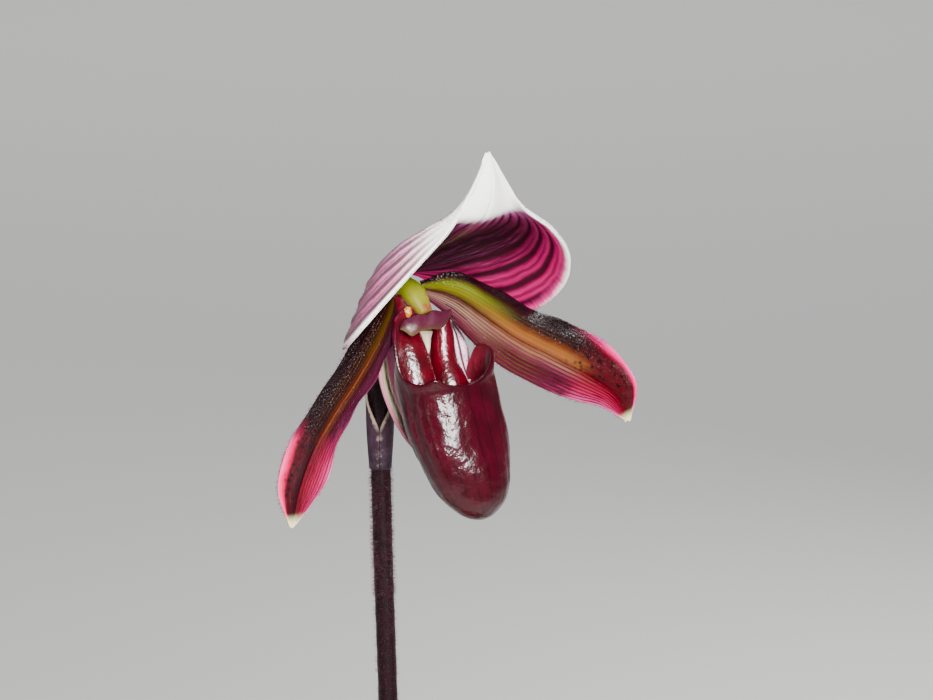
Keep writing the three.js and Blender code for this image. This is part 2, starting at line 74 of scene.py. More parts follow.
def makeCamera():
    data = bpy.data.cameras.new("camera")
    data.sensor_fit = "HORIZONTAL"
    data.sensor_width = shot["sensor"]
    data.lens = shot["sensor"] * shot["distance"] / (shot["width"] * shot["mmPerPixel"])
    data.clip_start, data.clip_end = shot["clip"]
    camera = placeObject("camera", data)
    bpy.context.scene.camera = camera
    tip = math.radians(shot["elevation"])
    ahead = Vector((0, math.cos(tip), -math.sin(tip)))
    up = Vector((0, math.sin(tip), math.cos(tip)))
    aside = (shot["width"] / 2 - shot["flowerX"]) * shot["mmPerPixel"]
    below = (shot["height"] / 2 - shot["flowerY"]) * shot["mmPerPixel"]
    place = Vector(flower["centre"]) - ahead * shot["distance"] + Vector((aside, 0, 0)) - up * below
    camera.location = place * mm
    camera.rotation_euler = (math.radians(90 - shot["elevation"]), 0, 0)


# each lamp: where it is and what it looks at in mm, its width and height in mm, and its power in watts
lamps = {
    "keySoftbox": {"at": (160, -470, 500), "aim": (12, -10, 305), "size": (320, 270), "watts": 4.2},
    "flashTube": {"at": (120, -440, 470), "aim": (12, -10, 305), "size": (150, 220), "watts": 5.6},
    "fillPanel": {"at": (-620, -420, 380), "aim": (0, 0, 280), "size": (500, 700), "watts": 1.2},
    "rimPanel": {"at": (380, 620, 600), "aim": (0, 0, 290), "size": (300, 500), "watts": 5.0},
    "ceiling": {"at": (0, 100, 2400), "aim": (0, 100, 0), "size": (2600, 2600), "watts": 26},
    "backdropPanel": {"at": (0, 2900, 2100), "aim": (0, 2900, 0), "size": (4200, 2400), "watts": 75},
}
studio = {"air": (0.9, 0.93, 1.0, 1), "airStrength": 0.14, "floorSize": 9, "floorHeight": -0.3 * mm}


def makeLights():
    for name, lamp in lamps.items():
        data = bpy.data.lights.new(name, "AREA")
        data.shape = "RECTANGLE"
        data.size, data.size_y = (edge * mm for edge in lamp["size"])
        data.energy = lamp["watts"]
        light = placeObject(name, data)
        light.location = Vector(lamp["at"]) * mm
        beam = Vector(lamp["aim"]) - Vector(lamp["at"])
        light.rotation_euler = beam.to_track_quat("-Z", "Y").to_euler()
    world = bpy.data.worlds.new("studio")
    world.use_nodes = True
    air = world.node_tree.nodes["Background"]
    air.inputs["Color"].default_value = studio["air"]
    air.inputs["Strength"].default_value = studio["airStrength"]
    bpy.context.scene.world = world


def hexColour(code):
    # sRGB hex to the linear colour that the shaders use
    channels = [int(code[i:i + 2], 16) / 255 for i in (1, 3, 5)]
    return [c / 12.92 if c <= 0.04045 else ((c + 0.055) / 1.055) ** 2.4 for c in channels] + [1.0]


def fill(tree, socket, value):
    # a node or one of its sockets is linked, by its first output in use; a hex colour or a number is set
    if isinstance(value, bpy.types.Node):
        value = next(output for output in value.outputs if output.enabled)
    if isinstance(value, bpy.types.NodeSocket):
        tree.links.new(value, socket)
    else:
        socket.default_value = hexColour(value) if isinstance(value, str) else value


def addNode(tree, kind, *values, sockets=None, stops=(), **settings):
    # values fill the open inputs in order, and sockets fills them by name; stops are for a colour ramp
    made = tree.nodes.new("ShaderNode" + kind)
    for name, value in settings.items():
        setattr(made, name, value)
    for socket, value in zip([socket for socket in made.inputs if socket.enabled], values):
        fill(tree, socket, value)
    for name, value in (sockets or {}).items():
        fill(tree, made.inputs[name], value)
    for i, (place, colour) in enumerate(stops):
        ramp = made.color_ramp.elements
        stop = ramp[i] if i < len(ramp) else ramp.new(place)
        stop.position = place
        stop.color = hexColour(colour)
    return made


def fillShader(made, values):
    for name, value in values.items():
        fill(made.node_tree, made.node_tree.nodes["Principled BSDF"].inputs[name], value)
    return made


def newMaterial(name, constants):
    # a Principled material with its constant sockets set, and a short way to add nodes to it
    made = bpy.data.materials.new(name)
    made.use_nodes = True
    fillShader(made, constants)
    return made, partial(addNode, made.node_tree)


def makeFloor():
    # pale grey background paper: matt, so that it shows shadows and no reflections
    paper, _ = newMaterial("backgroundPaper", {
        "Base Color": "#c9c8c6", "Roughness": 0.9, "Specular IOR Level": 0.2})
    work = bmesh.new()
    bmesh.ops.create_grid(work, x_segments=1, y_segments=1, size=studio["floorSize"])
    mesh = meshFrom("floor", work)
    mesh.materials.append(paper)
    floor = placeObject("floor", mesh)
    floor.location.z = studio["floorHeight"]    # just under the pot's foot


makeCamera()
makeLights()
makeFloor()
print("camera, lights and floor made")


# Shaping helpers

def along(keys, share):
    # a smooth run through evenly spaced numbers or points
    place = min(max(share, 0.0), 1.0) * (len(keys) - 1)
    i = min(int(place), len(keys) - 2)
    f = place - i
    b, c = keys[i], keys[i + 1]
    a = keys[i - 1] if i > 0 else b * 2 - c
    d = keys[i + 2] if i + 2 < len(keys) else c * 2 - b
    return (b * 2 + (c - a) * f + (a * 2 - b * 5 + c * 4 - d) * f * f
            + (b * 3 - a - c * 3 + d) * f * f * f) / 2


def mix(a, b, share):
    return a + (b - a) * share


def smooth(low, high, value):
    share = min(max((value - low) / (high - low), 0.0), 1.0)
    return share * share * (3 - 2 * share)


def hump(value, middle, spread):
    return math.exp(-((value - middle) / spread) ** 2)


flowerPlace = (
    Matrix.Translation(flower["centre"])
    @ Matrix.Rotation(math.radians(flower["turn"]), 4, "Z")
    @ Matrix.Rotation(math.radians(-flower["roll"]), 4, "Y")
)


def flowerPoint(across, forward, up):
    # the flower's own frame, in which its petals and lip are laid out
    return flowerPlace @ Vector((across, -forward, up))


def railSheet(rails):
    # a surface hung on three or five curves from base to tip: s runs along it and t across, from -1 to 1
    curves = [[flowerPoint(*key) for key in rail] for rail in rails.values()]
    rows = {}

    def surface(s, t):
        if s not in rows:
            rows[s] = [along(curve, s) for curve in curves]
        row = rows[s]
        if len(row) > 3:
            return along(row, (t + 1) / 2)
        return row[1] * (1 - t * t) + row[2] * ((t * t + t) / 2) + row[0] * ((t * t - t) / 2)
    return surface


def tubeSurface(path, radius, depth=None, rib=None):
    # a tube of round, oval or ribbed section along a curve: s runs along it and t round it
    depth = depth or radius
    rings = {}

    def surface(s, t):
        if s not in rings:
            tangent = (along(path, min(s + 0.01, 1)) - along(path, max(s - 0.01, 0))).normalized()
            across = (Vector((1, 0, 0)) - tangent * tangent.x).normalized()
            rings[s] = along(path, s), across, tangent.cross(across)
        centre, across, away = rings[s]
        angle = t * math.pi
        swell = rib(s, angle) if rib else 1
        return (centre + across * (along(radius, s) * swell * math.cos(angle))
                + away * (along(depth, s) * swell * math.sin(angle)))
    return surface


def sheetMesh(surface, rows, columns, relief=None, closed=False, capped=False, flip=False):
    # a grid bent onto a surface, with s and t kept as its UV map; relief lifts it along its normal, in mm
    work = bmesh.new()
    shape = work.loops.layers.uv.new("shape")
    bmesh.ops.create_grid(work, x_segments=columns, y_segments=rows, size=1)
    for face in work.faces:
        for loop in face.loops:
            loop[shape].uv = ((loop.vert.co.y + 1) / 2, (loop.vert.co.x + 1) / 2)
    places = [((vert.co.y + 1) / 2, vert.co.x) for vert in work.verts]    # s and t of each vertex
    for vert, (s, t) in zip(work.verts, places):
        vert.co = surface(s, t)
    if flip:
        bmesh.ops.reverse_faces(work, faces=work.faces)
    if relief:
        work.normal_update()
        for vert, (s, t) in zip(work.verts, places):
            vert.co += vert.normal * relief(s, t)
    if closed:
        bmesh.ops.remove_doubles(work, verts=work.verts, dist=0.002)
    if capped:
        bmesh.ops.holes_fill(work, edges=[edge for edge in work.edges if edge.is_boundary], sides=0)
        bmesh.ops.recalc_face_normals(work, faces=work.faces)
    return work


def finishPiece(name, work, materials, replaces=(), sharpAngle=None):
    # the bmesh becomes an object at the origin, in metres, that rides with the plant
    bmesh.ops.scale(work, vec=(mm, mm, mm), verts=work.verts)
    mesh = meshFrom(name, work)
    for material in materials:
        mesh.materials.append(material)
    mesh.shade_smooth()
    if sharpAngle:
        mesh.set_sharp_from_angle(angle=math.radians(sharpAngle))
    piece = placeObject(name, mesh)
    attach(piece, "root")
    if replaces:
        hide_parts(*replaces)
    return piece


def thicken(piece, thickness, underside=0, offset=0):
    # gives a sheet its real thickness, both ways or all inwards, with another material on its underside
    wall = piece.modifiers.new("thickness", "SOLIDIFY")
    wall.thickness = thickness * mm
    wall.offset = offset
    wall.material_offset = underside


def roundOff(piece):
    rounding = piece.modifiers.new("rounding", "SUBSURF")
    rounding.levels = rounding.render_levels = 1


# Hairs: each is a thin bent spike of three sides, so thousands stay light

def hairTemplate(bend):
    work = bmesh.new()
    bmesh.ops.create_cone(work, cap_ends=True, segments=3, radius1=1, radius2=0.12, depth=1)
    bmesh.ops.translate(work, vec=(0, 0, 0.5), verts=work.verts)
    long = [edge for edge in work.edges if abs(edge.verts[0].co.z - edge.verts[1].co.z) > 0.5]
    bmesh.ops.subdivide_edges(work, edges=long, cuts=1)
    mesh = meshFrom("hair", work)
    return [vert.co.copy() for vert in mesh.vertices], mesh, bend


def surfaceAxes(surface, s, t):
    # a point of a surface, the two directions in it and the one that stands on it
    step = 0.002
    ahead = surface(min(s + step, 1), t) - surface(max(s - step, 0), t)
    aside = surface(s, min(t + step, 1)) - surface(s, max(t - step, -1))
    return surface(s, t), ahead.normalized(), aside.normalized(), ahead.cross(aside).normalized()


def addHair(work, template, root, direction, length, radius, roll):
    # one hair from its root, bent over towards its own side
    home, mesh, bend = template
    turn = direction.to_track_quat("Z", "Y").to_matrix() @ Matrix.Rotation(roll, 3, "Z")
    moved = []
    for co in home:
        lean = bend * co.z * co.z * length
        moved.extend(root + turn @ Vector((co.x * radius + lean, co.y * radius, co.z * length)))
    mesh.vertices.foreach_set("co", moved)
    work.from_mesh(mesh)


# Colours and surfaces of the plant tissue

def shapePlace(node):
    # how far a point lies along its piece, 0 to 1, and across it, -1 to 1 and 0 to 1 from the middle
    apart = node("SeparateXYZ", node("UVMap", uv_map="shape"))
    across = node("Math", apart.outputs["Y"], 2.0, -1.0, operation="MULTIPLY_ADD")
    return apart.outputs["X"], across, node("Math", across, operation="ABSOLUTE")


def streaks(node, s, t, stretch, scale, detail, roughness=0.5):
    # noise drawn out one way: stretch is how fine it is along the piece and across it
    drawnOut = node("Mapping", node("CombineXYZ", s, t), sockets={"Scale": (*stretch, 1)})
    return node("TexNoise", drawnOut, sockets={"Scale": scale, "Detail": detail, "Roughness": roughness})


def ragged(node, edge, cloud, amount):
    # a place along or across a piece, pushed either way by a cloud, so that what starts there is ragged
    push = node("Math", cloud, amount, -amount / 2, operation="MULTIPLY_ADD")
    return node("Math", edge, push, operation="ADD")


def stripes(node, across, count, cloud=None, wander=0):
    # stripes along a piece, as many as count on each half of it: their phase, and a wave that peaks on them
    phase = node("Math", across, math.pi * 2 * count, operation="MULTIPLY")
    if wander:
        phase = node("Math", phase, node("Math", cloud, wander, operation="MULTIPLY"), operation="ADD")
    return phase, node("Math", phase, operation="COSINE")


def sepalVeins(node, t, cloud):
    # nine main veins on each side of the midrib, and shorter ones between
    veinPlace = ragged(node, t, cloud, sepalLook["veinWander"])
    return [stripes(node, veinPlace, sepalLook["veins"] * times)[1] for times in (1, 2)]


def makeSepalInside():
    # petal tissue: satin skin over wet cells, which lets a little light through
    made, node = newMaterial("sepalTissueInside", {
        "Roughness": 0.45, "Specular IOR Level": 0.15, "Subsurface Weight": 0.08,
        "Subsurface Scale": 1 * mm, "IOR": 1.4})
    s, t, a = shapePlace(node)
    place = node("TexCoord").outputs["Object"]
    cloud = node("TexNoise", place, sockets={"Scale": perMm / 9, "Detail": 3.0})
    vein, minor = sepalVeins(node, t, cloud)
    vein = node("MapRange", vein, -0.6, 0.95, 0.0, 1.0, interpolation_type="SMOOTHSTEP")
    minor = node("Math", node("MapRange", minor, 0.1, 0.95, 0.0, 0.6),
                 node("MapRange", s, 0.62, 0.5, 0.0, 1.0), operation="MULTIPLY")
    vein = node("Math", vein, minor, operation="MAXIMUM")
    fibre = streaks(node, s, t, (4, 60), 3.0, 4.0)
    fringe = streaks(node, s, t, (70, 6), 2.0, 3.0)
    # near-black towards the base: dark pigment, darkened further as painted shade inside the hood
    ground = node("ValToRGB", s, stops=[
        (0.0, "#060201"), (0.22, "#0c0103"), (0.40, "#1a000a"), (0.55, "#40001c"), (0.66, "#681040"),
        (0.735, "#9c5086"), (0.78, "#d8b8ce")])
    # hotter towards the margins
    hot = node("MapRange", a, 0.56, 0.88, 0.0, 0.92, interpolation_type="SMOOTHSTEP")
    hot = node("Math", hot, node("MapRange", s, 0.78, 0.6, 0.0, 1.0), operation="MULTIPLY")
    ground = node("Mix", hot, ground, "#9a004c", data_type="RGBA")
    # painted shade deep in the hood and over the inside of its left half, laid over its brown-black pigment
    deepPigmentAndShade = node("Math", node("MapRange", a, 0.72, 0.2, 0.0, 1.0, interpolation_type="SMOOTHSTEP"),
                node("MapRange", s, 0.70, 0.42, 0.0, 1.0, interpolation_type="SMOOTHSTEP"),
                operation="MULTIPLY")
    shadedLeftHalf = node("Math", node("MapRange", t, 0.05, -0.2, 0.0, 1.0),
                    node("MapRange", s, 0.76, 0.62, 0.0, 0.95), operation="MULTIPLY")
    deepPigmentAndShade = node("Math", deepPigmentAndShade, shadedLeftHalf, operation="MAXIMUM")
    ground = node("Mix", deepPigmentAndShade, ground, "#0e0502", data_type="RGBA")
    ground = node("Mix", node("MapRange", fibre, 0.48, 0.74, 0.0, 0.3), ground, "#b03c80", data_type="RGBA")
    veinFade = node("MapRange", ragged(node, s, fringe, 0.1), 0.80, 0.66, 0.0, 0.95,
                    interpolation_type="SMOOTHSTEP")
    marked = node("Mix", node("Math", vein, veinFade, operation="MULTIPLY"), ground, "#1c0008",
                  data_type="RGBA")
    # white apex and a white margin, with a feathered pink edge beside it
    arch = node("Math", node("Math", a, 2.0, operation="POWER"), -0.085, operation="MULTIPLY")
    tipPlace = ragged(node, node("Math", s, arch, operation="ADD"), cloud, sepalLook["veinWander"])
    apex = node("MapRange", tipPlace, 0.685, 0.765, 0.0, 1.0, interpolation_type="SMOOTHSTEP")
    edge = node("Math", a, node("MapRange", s, 0.3, 0.72, -0.08, 0.0), operation="ADD")
    edge = ragged(node, edge, fringe, 0.035)
    pink = node("MapRange", edge, 0.86, 0.925, 0.0, 0.7, interpolation_type="SMOOTHSTEP")
    marked = node("Mix", pink, marked, "#cc2c7a", data_type="RGBA")
    margin = node("MapRange", edge, 0.905, 0.96, 0.0, 1.0, interpolation_type="SMOOTHSTEP")
    white = node("Math", apex, margin, operation="MAXIMUM")
    colour = node("Mix", white, marked, "#fbf9f4", data_type="RGBA")
    midrib = node("Math", node("MapRange", a, 0.03, 0.005, 0.0, 1.0),
                  node("MapRange", s, 0.9, 0.8, 0.0, 0.3), operation="MULTIPLY")
    colour = node("Mix", midrib, colour, "#a8ae5c", data_type="RGBA")
    cells = node("TexNoise", place, sockets={"Scale": perMm / 0.5, "Detail": 2.0})
    bump = node("Bump", sockets={"Strength": 0.35, "Distance": 0.2 * mm, "Height": cells})
    return fillShader(made, {"Base Color": colour, "Normal": bump})


def makeSepalOutside():
    # the back of the same tissue: paler, with the veins showing through
    made, node = newMaterial("sepalTissueOutside", {
        "Roughness": 0.6, "Specular IOR Level": 0.3, "Subsurface Weight": 0.08,
        "Subsurface Scale": 1 * mm, "Sheen Weight": 0.12, "IOR": 1.4})
    s, t, a = shapePlace(node)
    place = node("TexCoord").outputs["Object"]
    cloud = node("TexNoise", place, sockets={"Scale": perMm / 7, "Detail": 3.0})
    vein, minor = sepalVeins(node, t, cloud)
    vein = node("MapRange", vein, -0.1, 0.9, 0.0, 1.0, interpolation_type="SMOOTHSTEP")
    vein = node("Math", vein, node("MapRange", minor, 0.3, 0.95, 0.0, 0.55), operation="MAXIMUM")
    ground = node("ValToRGB", s, stops=[
        (0.0, "#54480c"), (0.16, "#8c1c50"), (0.42, "#c04488"), (0.58, "#dc90bc"), (0.68, "#e8d2dc"),
        (0.78, "#f6f2ee")])
    pink = node("MapRange", a, 0.25, 0.75, 0.0, 0.8, interpolation_type="SMOOTHSTEP")
    pink = node("Math", pink, node("MapRange", s, 0.6, 0.4, 0.0, 1.0), operation="MULTIPLY")
    ground = node("Mix", pink, ground, "#b02070", data_type="RGBA")
    fade = node("MapRange", s, 0.80, 0.6, 0.0, 0.9, interpolation_type="SMOOTHSTEP")
    tone = node("ValToRGB", s, stops=[
        (0.1, "#240410"), (0.45, "#3c0c1c"), (0.62, "#4e2a1c"), (0.8, "#8a6a48")])
    marked = node("Mix", node("Math", vein, fade, operation="MULTIPLY"), ground, tone, data_type="RGBA")
    margin = node("MapRange", a, 0.962, 0.985, 0.0, 1.0, interpolation_type="SMOOTHSTEP")
    colour = node("Mix", margin, marked, "#fbf9f4", data_type="RGBA")
    cells = node("TexNoise", place, sockets={"Scale": perMm / 0.5, "Detail": 2.0})
    bump = node("Bump", sockets={"Strength": 0.3, "Distance": 0.2 * mm, "Height": cells})
    return fillShader(made, {"Base Color": colour, "Normal": bump})


# a petal's colours across it, from the upper margin (0) to the lower (1), near its base, in its middle and
# near its tip; those of its dark lines, from base to tip; and how wet its upper band is
petalColours = {
    "right": {
        "base": [(0, "#100002"), (0.13, "#140003"), (0.19, "#3c3000"), (0.28, "#566200"), (0.42, "#5c5600"),
                 (0.50, "#281400"), (0.57, "#38140c"), (0.62, "#6c4c40"), (0.72, "#806050"),
                 (0.82, "#6a3c40"), (0.92, "#500c28"), (1, "#34000f")],
        "middle": [(0, "#0e0002"), (0.30, "#160003"), (0.36, "#4c1a00"), (0.42, "#744418"),
                   (0.50, "#7c4826"), (0.55, "#4c1c10"), (0.60, "#7c4c3c"), (0.70, "#581830"),
                   (0.77, "#3a0012"), (1, "#4c0424")],
        "tip": [(0, "#ff50a8"), (0.05, "#e80c70"), (0.12, "#780020"), (0.17, "#40000c"), (0.50, "#3c0006"),
                (0.60, "#680014"), (0.74, "#8c002c"), (0.86, "#a41048"), (1, "#d04c88")],
        "lines": [(0.1, "#2c0814"), (0.3, "#3c2c04"), (0.5, "#44300a"), (0.62, "#280010")],
        "wet": 0.3,
    },
    "left": {
        "base": [(0, "#0a0002"), (0.33, "#140003"), (0.40, "#302000"), (0.52, "#503404"), (0.60, "#2c0c06"),
                 (0.68, "#300a18"), (0.80, "#44182c"), (0.92, "#34041c"), (1, "#581c40")],
        "middle": [(0, "#0e0002"), (0.40, "#160004"), (0.47, "#441006"), (0.55, "#5c300e"),
                   (0.63, "#401408"), (0.72, "#3c041a"), (0.82, "#541838"), (0.92, "#4c0422"),
                   (1, "#8c3c64")],
        "tip": [(0, "#ff4c90"), (0.10, "#d80050"), (0.19, "#3c000c"), (0.52, "#180004"), (0.64, "#74001c"),
                (0.80, "#9c063c"), (0.94, "#bc1c60"), (1, "#e08cb4")],
        "lines": [(0.1, "#18040a"), (0.4, "#20040a"), (0.62, "#280010")],
        "wet": 0.12,
    },
}


def makePetalFront(side):
    # waxy petal tissue: glossy maroon along the upper margin, green to orange beside it, fine stripes below
    made, node = newMaterial("petalTissueFront" + side.title(), {
        "Roughness": 0.4, "Specular IOR Level": 0.12, "Subsurface Weight": 0.05,
        "Subsurface Scale": 0.8 * mm, "Coat Roughness": 0.05, "IOR": 1.4})
    colours = petalColours[side]
    s, t, _ = shapePlace(node)
    place = node("TexCoord").outputs["Object"]
    cloud = node("TexNoise", place, sockets={"Scale": perMm / 6, "Detail": 4.0})
    streak = streaks(node, s, t, (5, 34), 2.2, 5.0, 0.6)
    across = ragged(node, ragged(node, t, streak, 0.2), cloud, 0.16)
    across = node("Math", across, 0.5, 0.5, operation="MULTIPLY_ADD")
    baseZone, middleZone, tipZone = (
        node("ValToRGB", across, stops=colours[zone]) for zone in ("base", "middle", "tip"))
    outward = node("MapRange", s, 0.16, 0.44, 0.0, 1.0, interpolation_type="SMOOTHSTEP")
    colour = node("Mix", outward, baseZone, middleZone, data_type="RGBA")
    outward = ragged(node, ragged(node, s, streak, 0.3), cloud, 0.16)
    outward = node("MapRange", outward, 0.61, 0.76, 0.0, 1.0, interpolation_type="SMOOTHSTEP")
    colour = node("Mix", outward, colour, tipZone, data_type="RGBA")
    # fine dark lines along the lower half, and olive ones in the band above it
    _, stripe = stripes(node, t, petalLook["ribs"], cloud, 2.4)
    stripe = node("MapRange", stripe, 0.3, 0.98, 0.0, 1.0, interpolation_type="SMOOTHSTEP")
    lower = node("MapRange", t, 0.08, 0.2, 0.0, 0.85, interpolation_type="SMOOTHSTEP")
    colour = node("Mix", node("Math", stripe, lower, operation="MULTIPLY"), colour,
                  node("ValToRGB", s, stops=colours["lines"]), data_type="RGBA")
    band = node("Math", node("MapRange", t, -0.62, -0.5, 0.0, 1.0),
                node("MapRange", t, 0.08, 0.0, 0.0, 1.0), operation="MULTIPLY")
    band = node("Math", band, node("MapRange", s, 0.72, 0.5, 0.0, 0.4), operation="MULTIPLY")
    colour = node("Mix", node("Math", stripe, band, operation="MULTIPLY"), colour, "#4a2c00",
                  data_type="RGBA")
    # near-black flecks towards the tip, about a millimetre across
    flecks = node("TexVoronoi", place, sockets={"Scale": perMm / 1.3, "Randomness": 1.0})
    fleck = node("MapRange", flecks, 0.42, 0.22, 0.0, 1.0)
    zone = node("Math", node("MapRange", s, 0.58, 0.70, 0.0, 1.0),
                node("MapRange", s, 0.94, 0.84, 0.0, 1.0), operation="MULTIPLY")
    zone = node("Math", zone, node("MapRange", across, 0.62, 0.46, 0.0, 1.0), operation="MULTIPLY")
    zone = node("Math", zone, node("MapRange", across, 0.10, 0.19, 0.0, 0.95), operation="MULTIPLY")
    colour = node("Mix", node("Math", fleck, zone, operation="MULTIPLY"), colour, "#0c0002",
                  data_type="RGBA")
    # cream-green point
    point = node("MapRange", s, 0.94, 0.995, 0.0, 1.0, interpolation_type="SMOOTHSTEP")
    colour = node("Mix", point, colour, "#eeeab0", data_type="RGBA")
    cells = node("TexNoise", place, sockets={"Scale": perMm / 0.35, "Detail": 2.0})
    height = node("Math", node("Math", streak, 1.6, operation="MULTIPLY"), cells, operation="ADD")
    bump = node("Bump", sockets={"Strength": 0.6, "Distance": 0.25 * mm, "Height": height})
    # the upper band is wetter than the rest
    wet = node("MapRange", across, 0.2, 0.4, colours["wet"], 0.04)
    beads = node("TexVoronoi", place, sockets={"Scale": perMm / 0.5})
    glints = node("Bump", sockets={"Strength": 0.9, "Distance": 0.3 * mm, "Height": beads})
    return fillShader(made, {
        "Base Color": colour, "Normal": bump, "Coat Weight": wet, "Coat Normal": glints})


def makePetalBack():
    # the back of a petal: dull pink-maroon with green towards its base
    made, node = newMaterial("petalTissueBack", {
        "Roughness": 0.55, "Specular IOR Level": 0.35, "Subsurface Weight": 0.08,
        "Subsurface Scale": 1 * mm, "Sheen Weight": 0.15, "IOR": 1.4})
    s, t, _ = shapePlace(node)
    place = node("TexCoord").outputs["Object"]
    cloud = node("TexNoise", place, sockets={"Scale": perMm / 5, "Detail": 4.0})
    ground = node("ValToRGB", ragged(node, s, cloud, 0.2), stops=[
        (0.0, "#4a4c14"), (0.3, "#4c2418"), (0.6, "#5c1028"), (0.9, "#8c1c48"), (0.98, "#c8be84")])
    _, wave = stripes(node, t, 7)
    stripe = node("MapRange", wave, 0.2, 1.0, 0.0, 0.55, interpolation_type="SMOOTHSTEP")
    colour = node("Mix", stripe, ground, "#28040e", data_type="RGBA")
    bump = node("Bump", sockets={"Strength": 0.3, "Distance": 0.2 * mm, "Height": wave})
    return fillShader(made, {"Base Color": colour, "Normal": bump})


def makeSynsepalTissue():
    # thin pale tissue with purple veins and a pink edge
    made, node = newMaterial("synsepalTissue", {
        "Roughness": 0.5, "Specular IOR Level": 0.4, "Subsurface Weight": 0.12,
        "Subsurface Scale": 1 * mm, "IOR": 1.4})
    s, t, a = shapePlace(node)
    place = node("TexCoord").outputs["Object"]
    cloud = node("TexNoise", place, sockets={"Scale": perMm / 5, "Detail": 4.0})
    phase, wave = stripes(node, t, synsepalLook["veins"], cloud, 1.6)
    stripe = node("MapRange", wave, 0.5, 0.95, 0.0, 0.85, interpolation_type="SMOOTHSTEP")
    ground = node("ValToRGB", s, stops=[
        (0.0, "#8a983c"), (0.3, "#dcdcae"), (0.8, "#dcd4ba"), (1.0, "#c8cf88")])
    colour = node("Mix", stripe, ground, "#6a1440", data_type="RGBA")
    margin = node("MapRange", a, 0.955, 0.99, 0.0, 0.85, interpolation_type="SMOOTHSTEP")
    colour = node("Mix", margin, colour, "#9c2c66", data_type="RGBA")
    bump = node("Bump", sockets={"Strength": 0.35, "Distance": 0.2 * mm, "Height": phase})
    return fillShader(made, {"Base Color": colour, "Normal": bump})


def makeLipOutside():
    # the lip's varnished skin: a hard clear gloss over deep red, broken up by its cells
    made, node = newMaterial("lipTissueOutside", {
        "Roughness": 0.32, "Specular IOR Level": 0.15, "Coat Weight": 0.5, "Coat Roughness": 0.05,
        "IOR": 1.42})
    s, t, a = shapePlace(node)
    place = node("TexCoord").outputs["Object"]
    cloud = node("TexNoise", place, sockets={"Scale": perMm / 8, "Detail": 4.0})
    ground = node("ValToRGB", cloud, stops=[(0.3, "#220006"), (0.5, "#30000b"), (0.7, "#3e0012")])
    # darker veins run from rim to toe, about 3 mm apart at the belly
    _, wave = stripes(node, t, lipLook["veins"], cloud, 3.0)
    vein = node("MapRange", wave, 0.82, 1.0, 0.0, 0.38, interpolation_type="SMOOTHSTEP")
    colour = node("Mix", vein, ground, "#0a0001", data_type="RGBA")
    # a painted sheen: duller grey-purple towards the back and the toe, where the skin turns away from the
    # front
    paintedSheen = node("MapRange", a, 0.30, 0.62, 0.0, 0.4, interpolation_type="SMOOTHSTEP")
    toe = node("MapRange", s, 0.34, 0.1, 0.0, 0.5, interpolation_type="SMOOTHSTEP")
    colour = node("Mix", node("Math", paintedSheen, toe, operation="MAXIMUM"), colour, "#2a0814", data_type="RGBA")
    # the claw behind the left ear is streaked with magenta
    claw = node("Math", node("MapRange", a, 0.56, 0.68, 0.0, 1.0, interpolation_type="SMOOTHSTEP"),
                node("MapRange", s, 0.72, 0.84, 0.0, 0.85, interpolation_type="SMOOTHSTEP"),
                operation="MULTIPLY")
    claw = node("Math", claw, node("MapRange", t, 0.1, -0.1, 0.0, 1.0), operation="MULTIPLY")
    streaked = node("Mix", node("MapRange", wave, -0.2, 0.6, 0.0, 1.0), "#7c1440", "#380210",
                    data_type="RGBA")
    colour = node("Mix", claw, colour, streaked, data_type="RGBA")
    cells = node("TexVoronoi", place, sockets={"Scale": perMm / 0.42})
    lumps = node("TexNoise", place, sockets={"Scale": perMm / 1.3, "Detail": 2.0})
    height = node("Math", node("Math", cells, 0.06, operation="MULTIPLY"), lumps, operation="ADD")
    bump = node("Bump", sockets={"Strength": 0.6, "Distance": 0.25 * mm, "Height": height})
    return fillShader(made, {"Base Color": colour, "Normal": bump, "Coat Normal": bump})


def makeLipInside(name, edged, gloss, tones):
    # the lining of the lip and its folded-in lobes: smooth wet crimson; where it is edged, a pale mauve
    # band along the fold, partly its own colour and partly a painted highlight on the shoulder
    made, node = newMaterial(name, {
        "Roughness": mix(0.5, 0.24, gloss), "Specular IOR Level": mix(0.2, 0.4, gloss),
        "Coat Weight": 0.6 * gloss, "Coat Roughness": 0.08, "IOR": 1.42})
    s, t, a = shapePlace(node)
    place = node("TexCoord").outputs["Object"]
    cloud = node("TexNoise", place, sockets={"Scale": perMm / 5, "Detail": 3.0})
    colour = node("ValToRGB", cloud, stops=list(zip((0.3, 0.55, 0.75), tones)))
    streak = streaks(node, s, t, (3, 40), 2.0, 3.0)
    # along the fold, a band of the tissue's own mauve, lightened by a painted highlight
    fold = node("MapRange", ragged(node, a, streak, 0.12), 0.62, 0.8, 0.0, 0.75 * edged,
                interpolation_type="SMOOTHSTEP")
    mauveAndHighlight = node("ValToRGB", a, stops=[(0.7, "#9c4870"), (0.84, "#64103a"), (1.0, "#480620")])
    colour = node("Mix", fold, colour, mauveAndHighlight, data_type="RGBA")
    lumps = node("TexNoise", place, sockets={"Scale": perMm / 1.1, "Detail": 2.0})
    bump = node("Bump", sockets={"Strength": 0.6, "Distance": 0.25 * mm, "Height": lumps})
    return fillShader(made, {"Base Color": colour, "Normal": bump, "Coat Normal": bump})


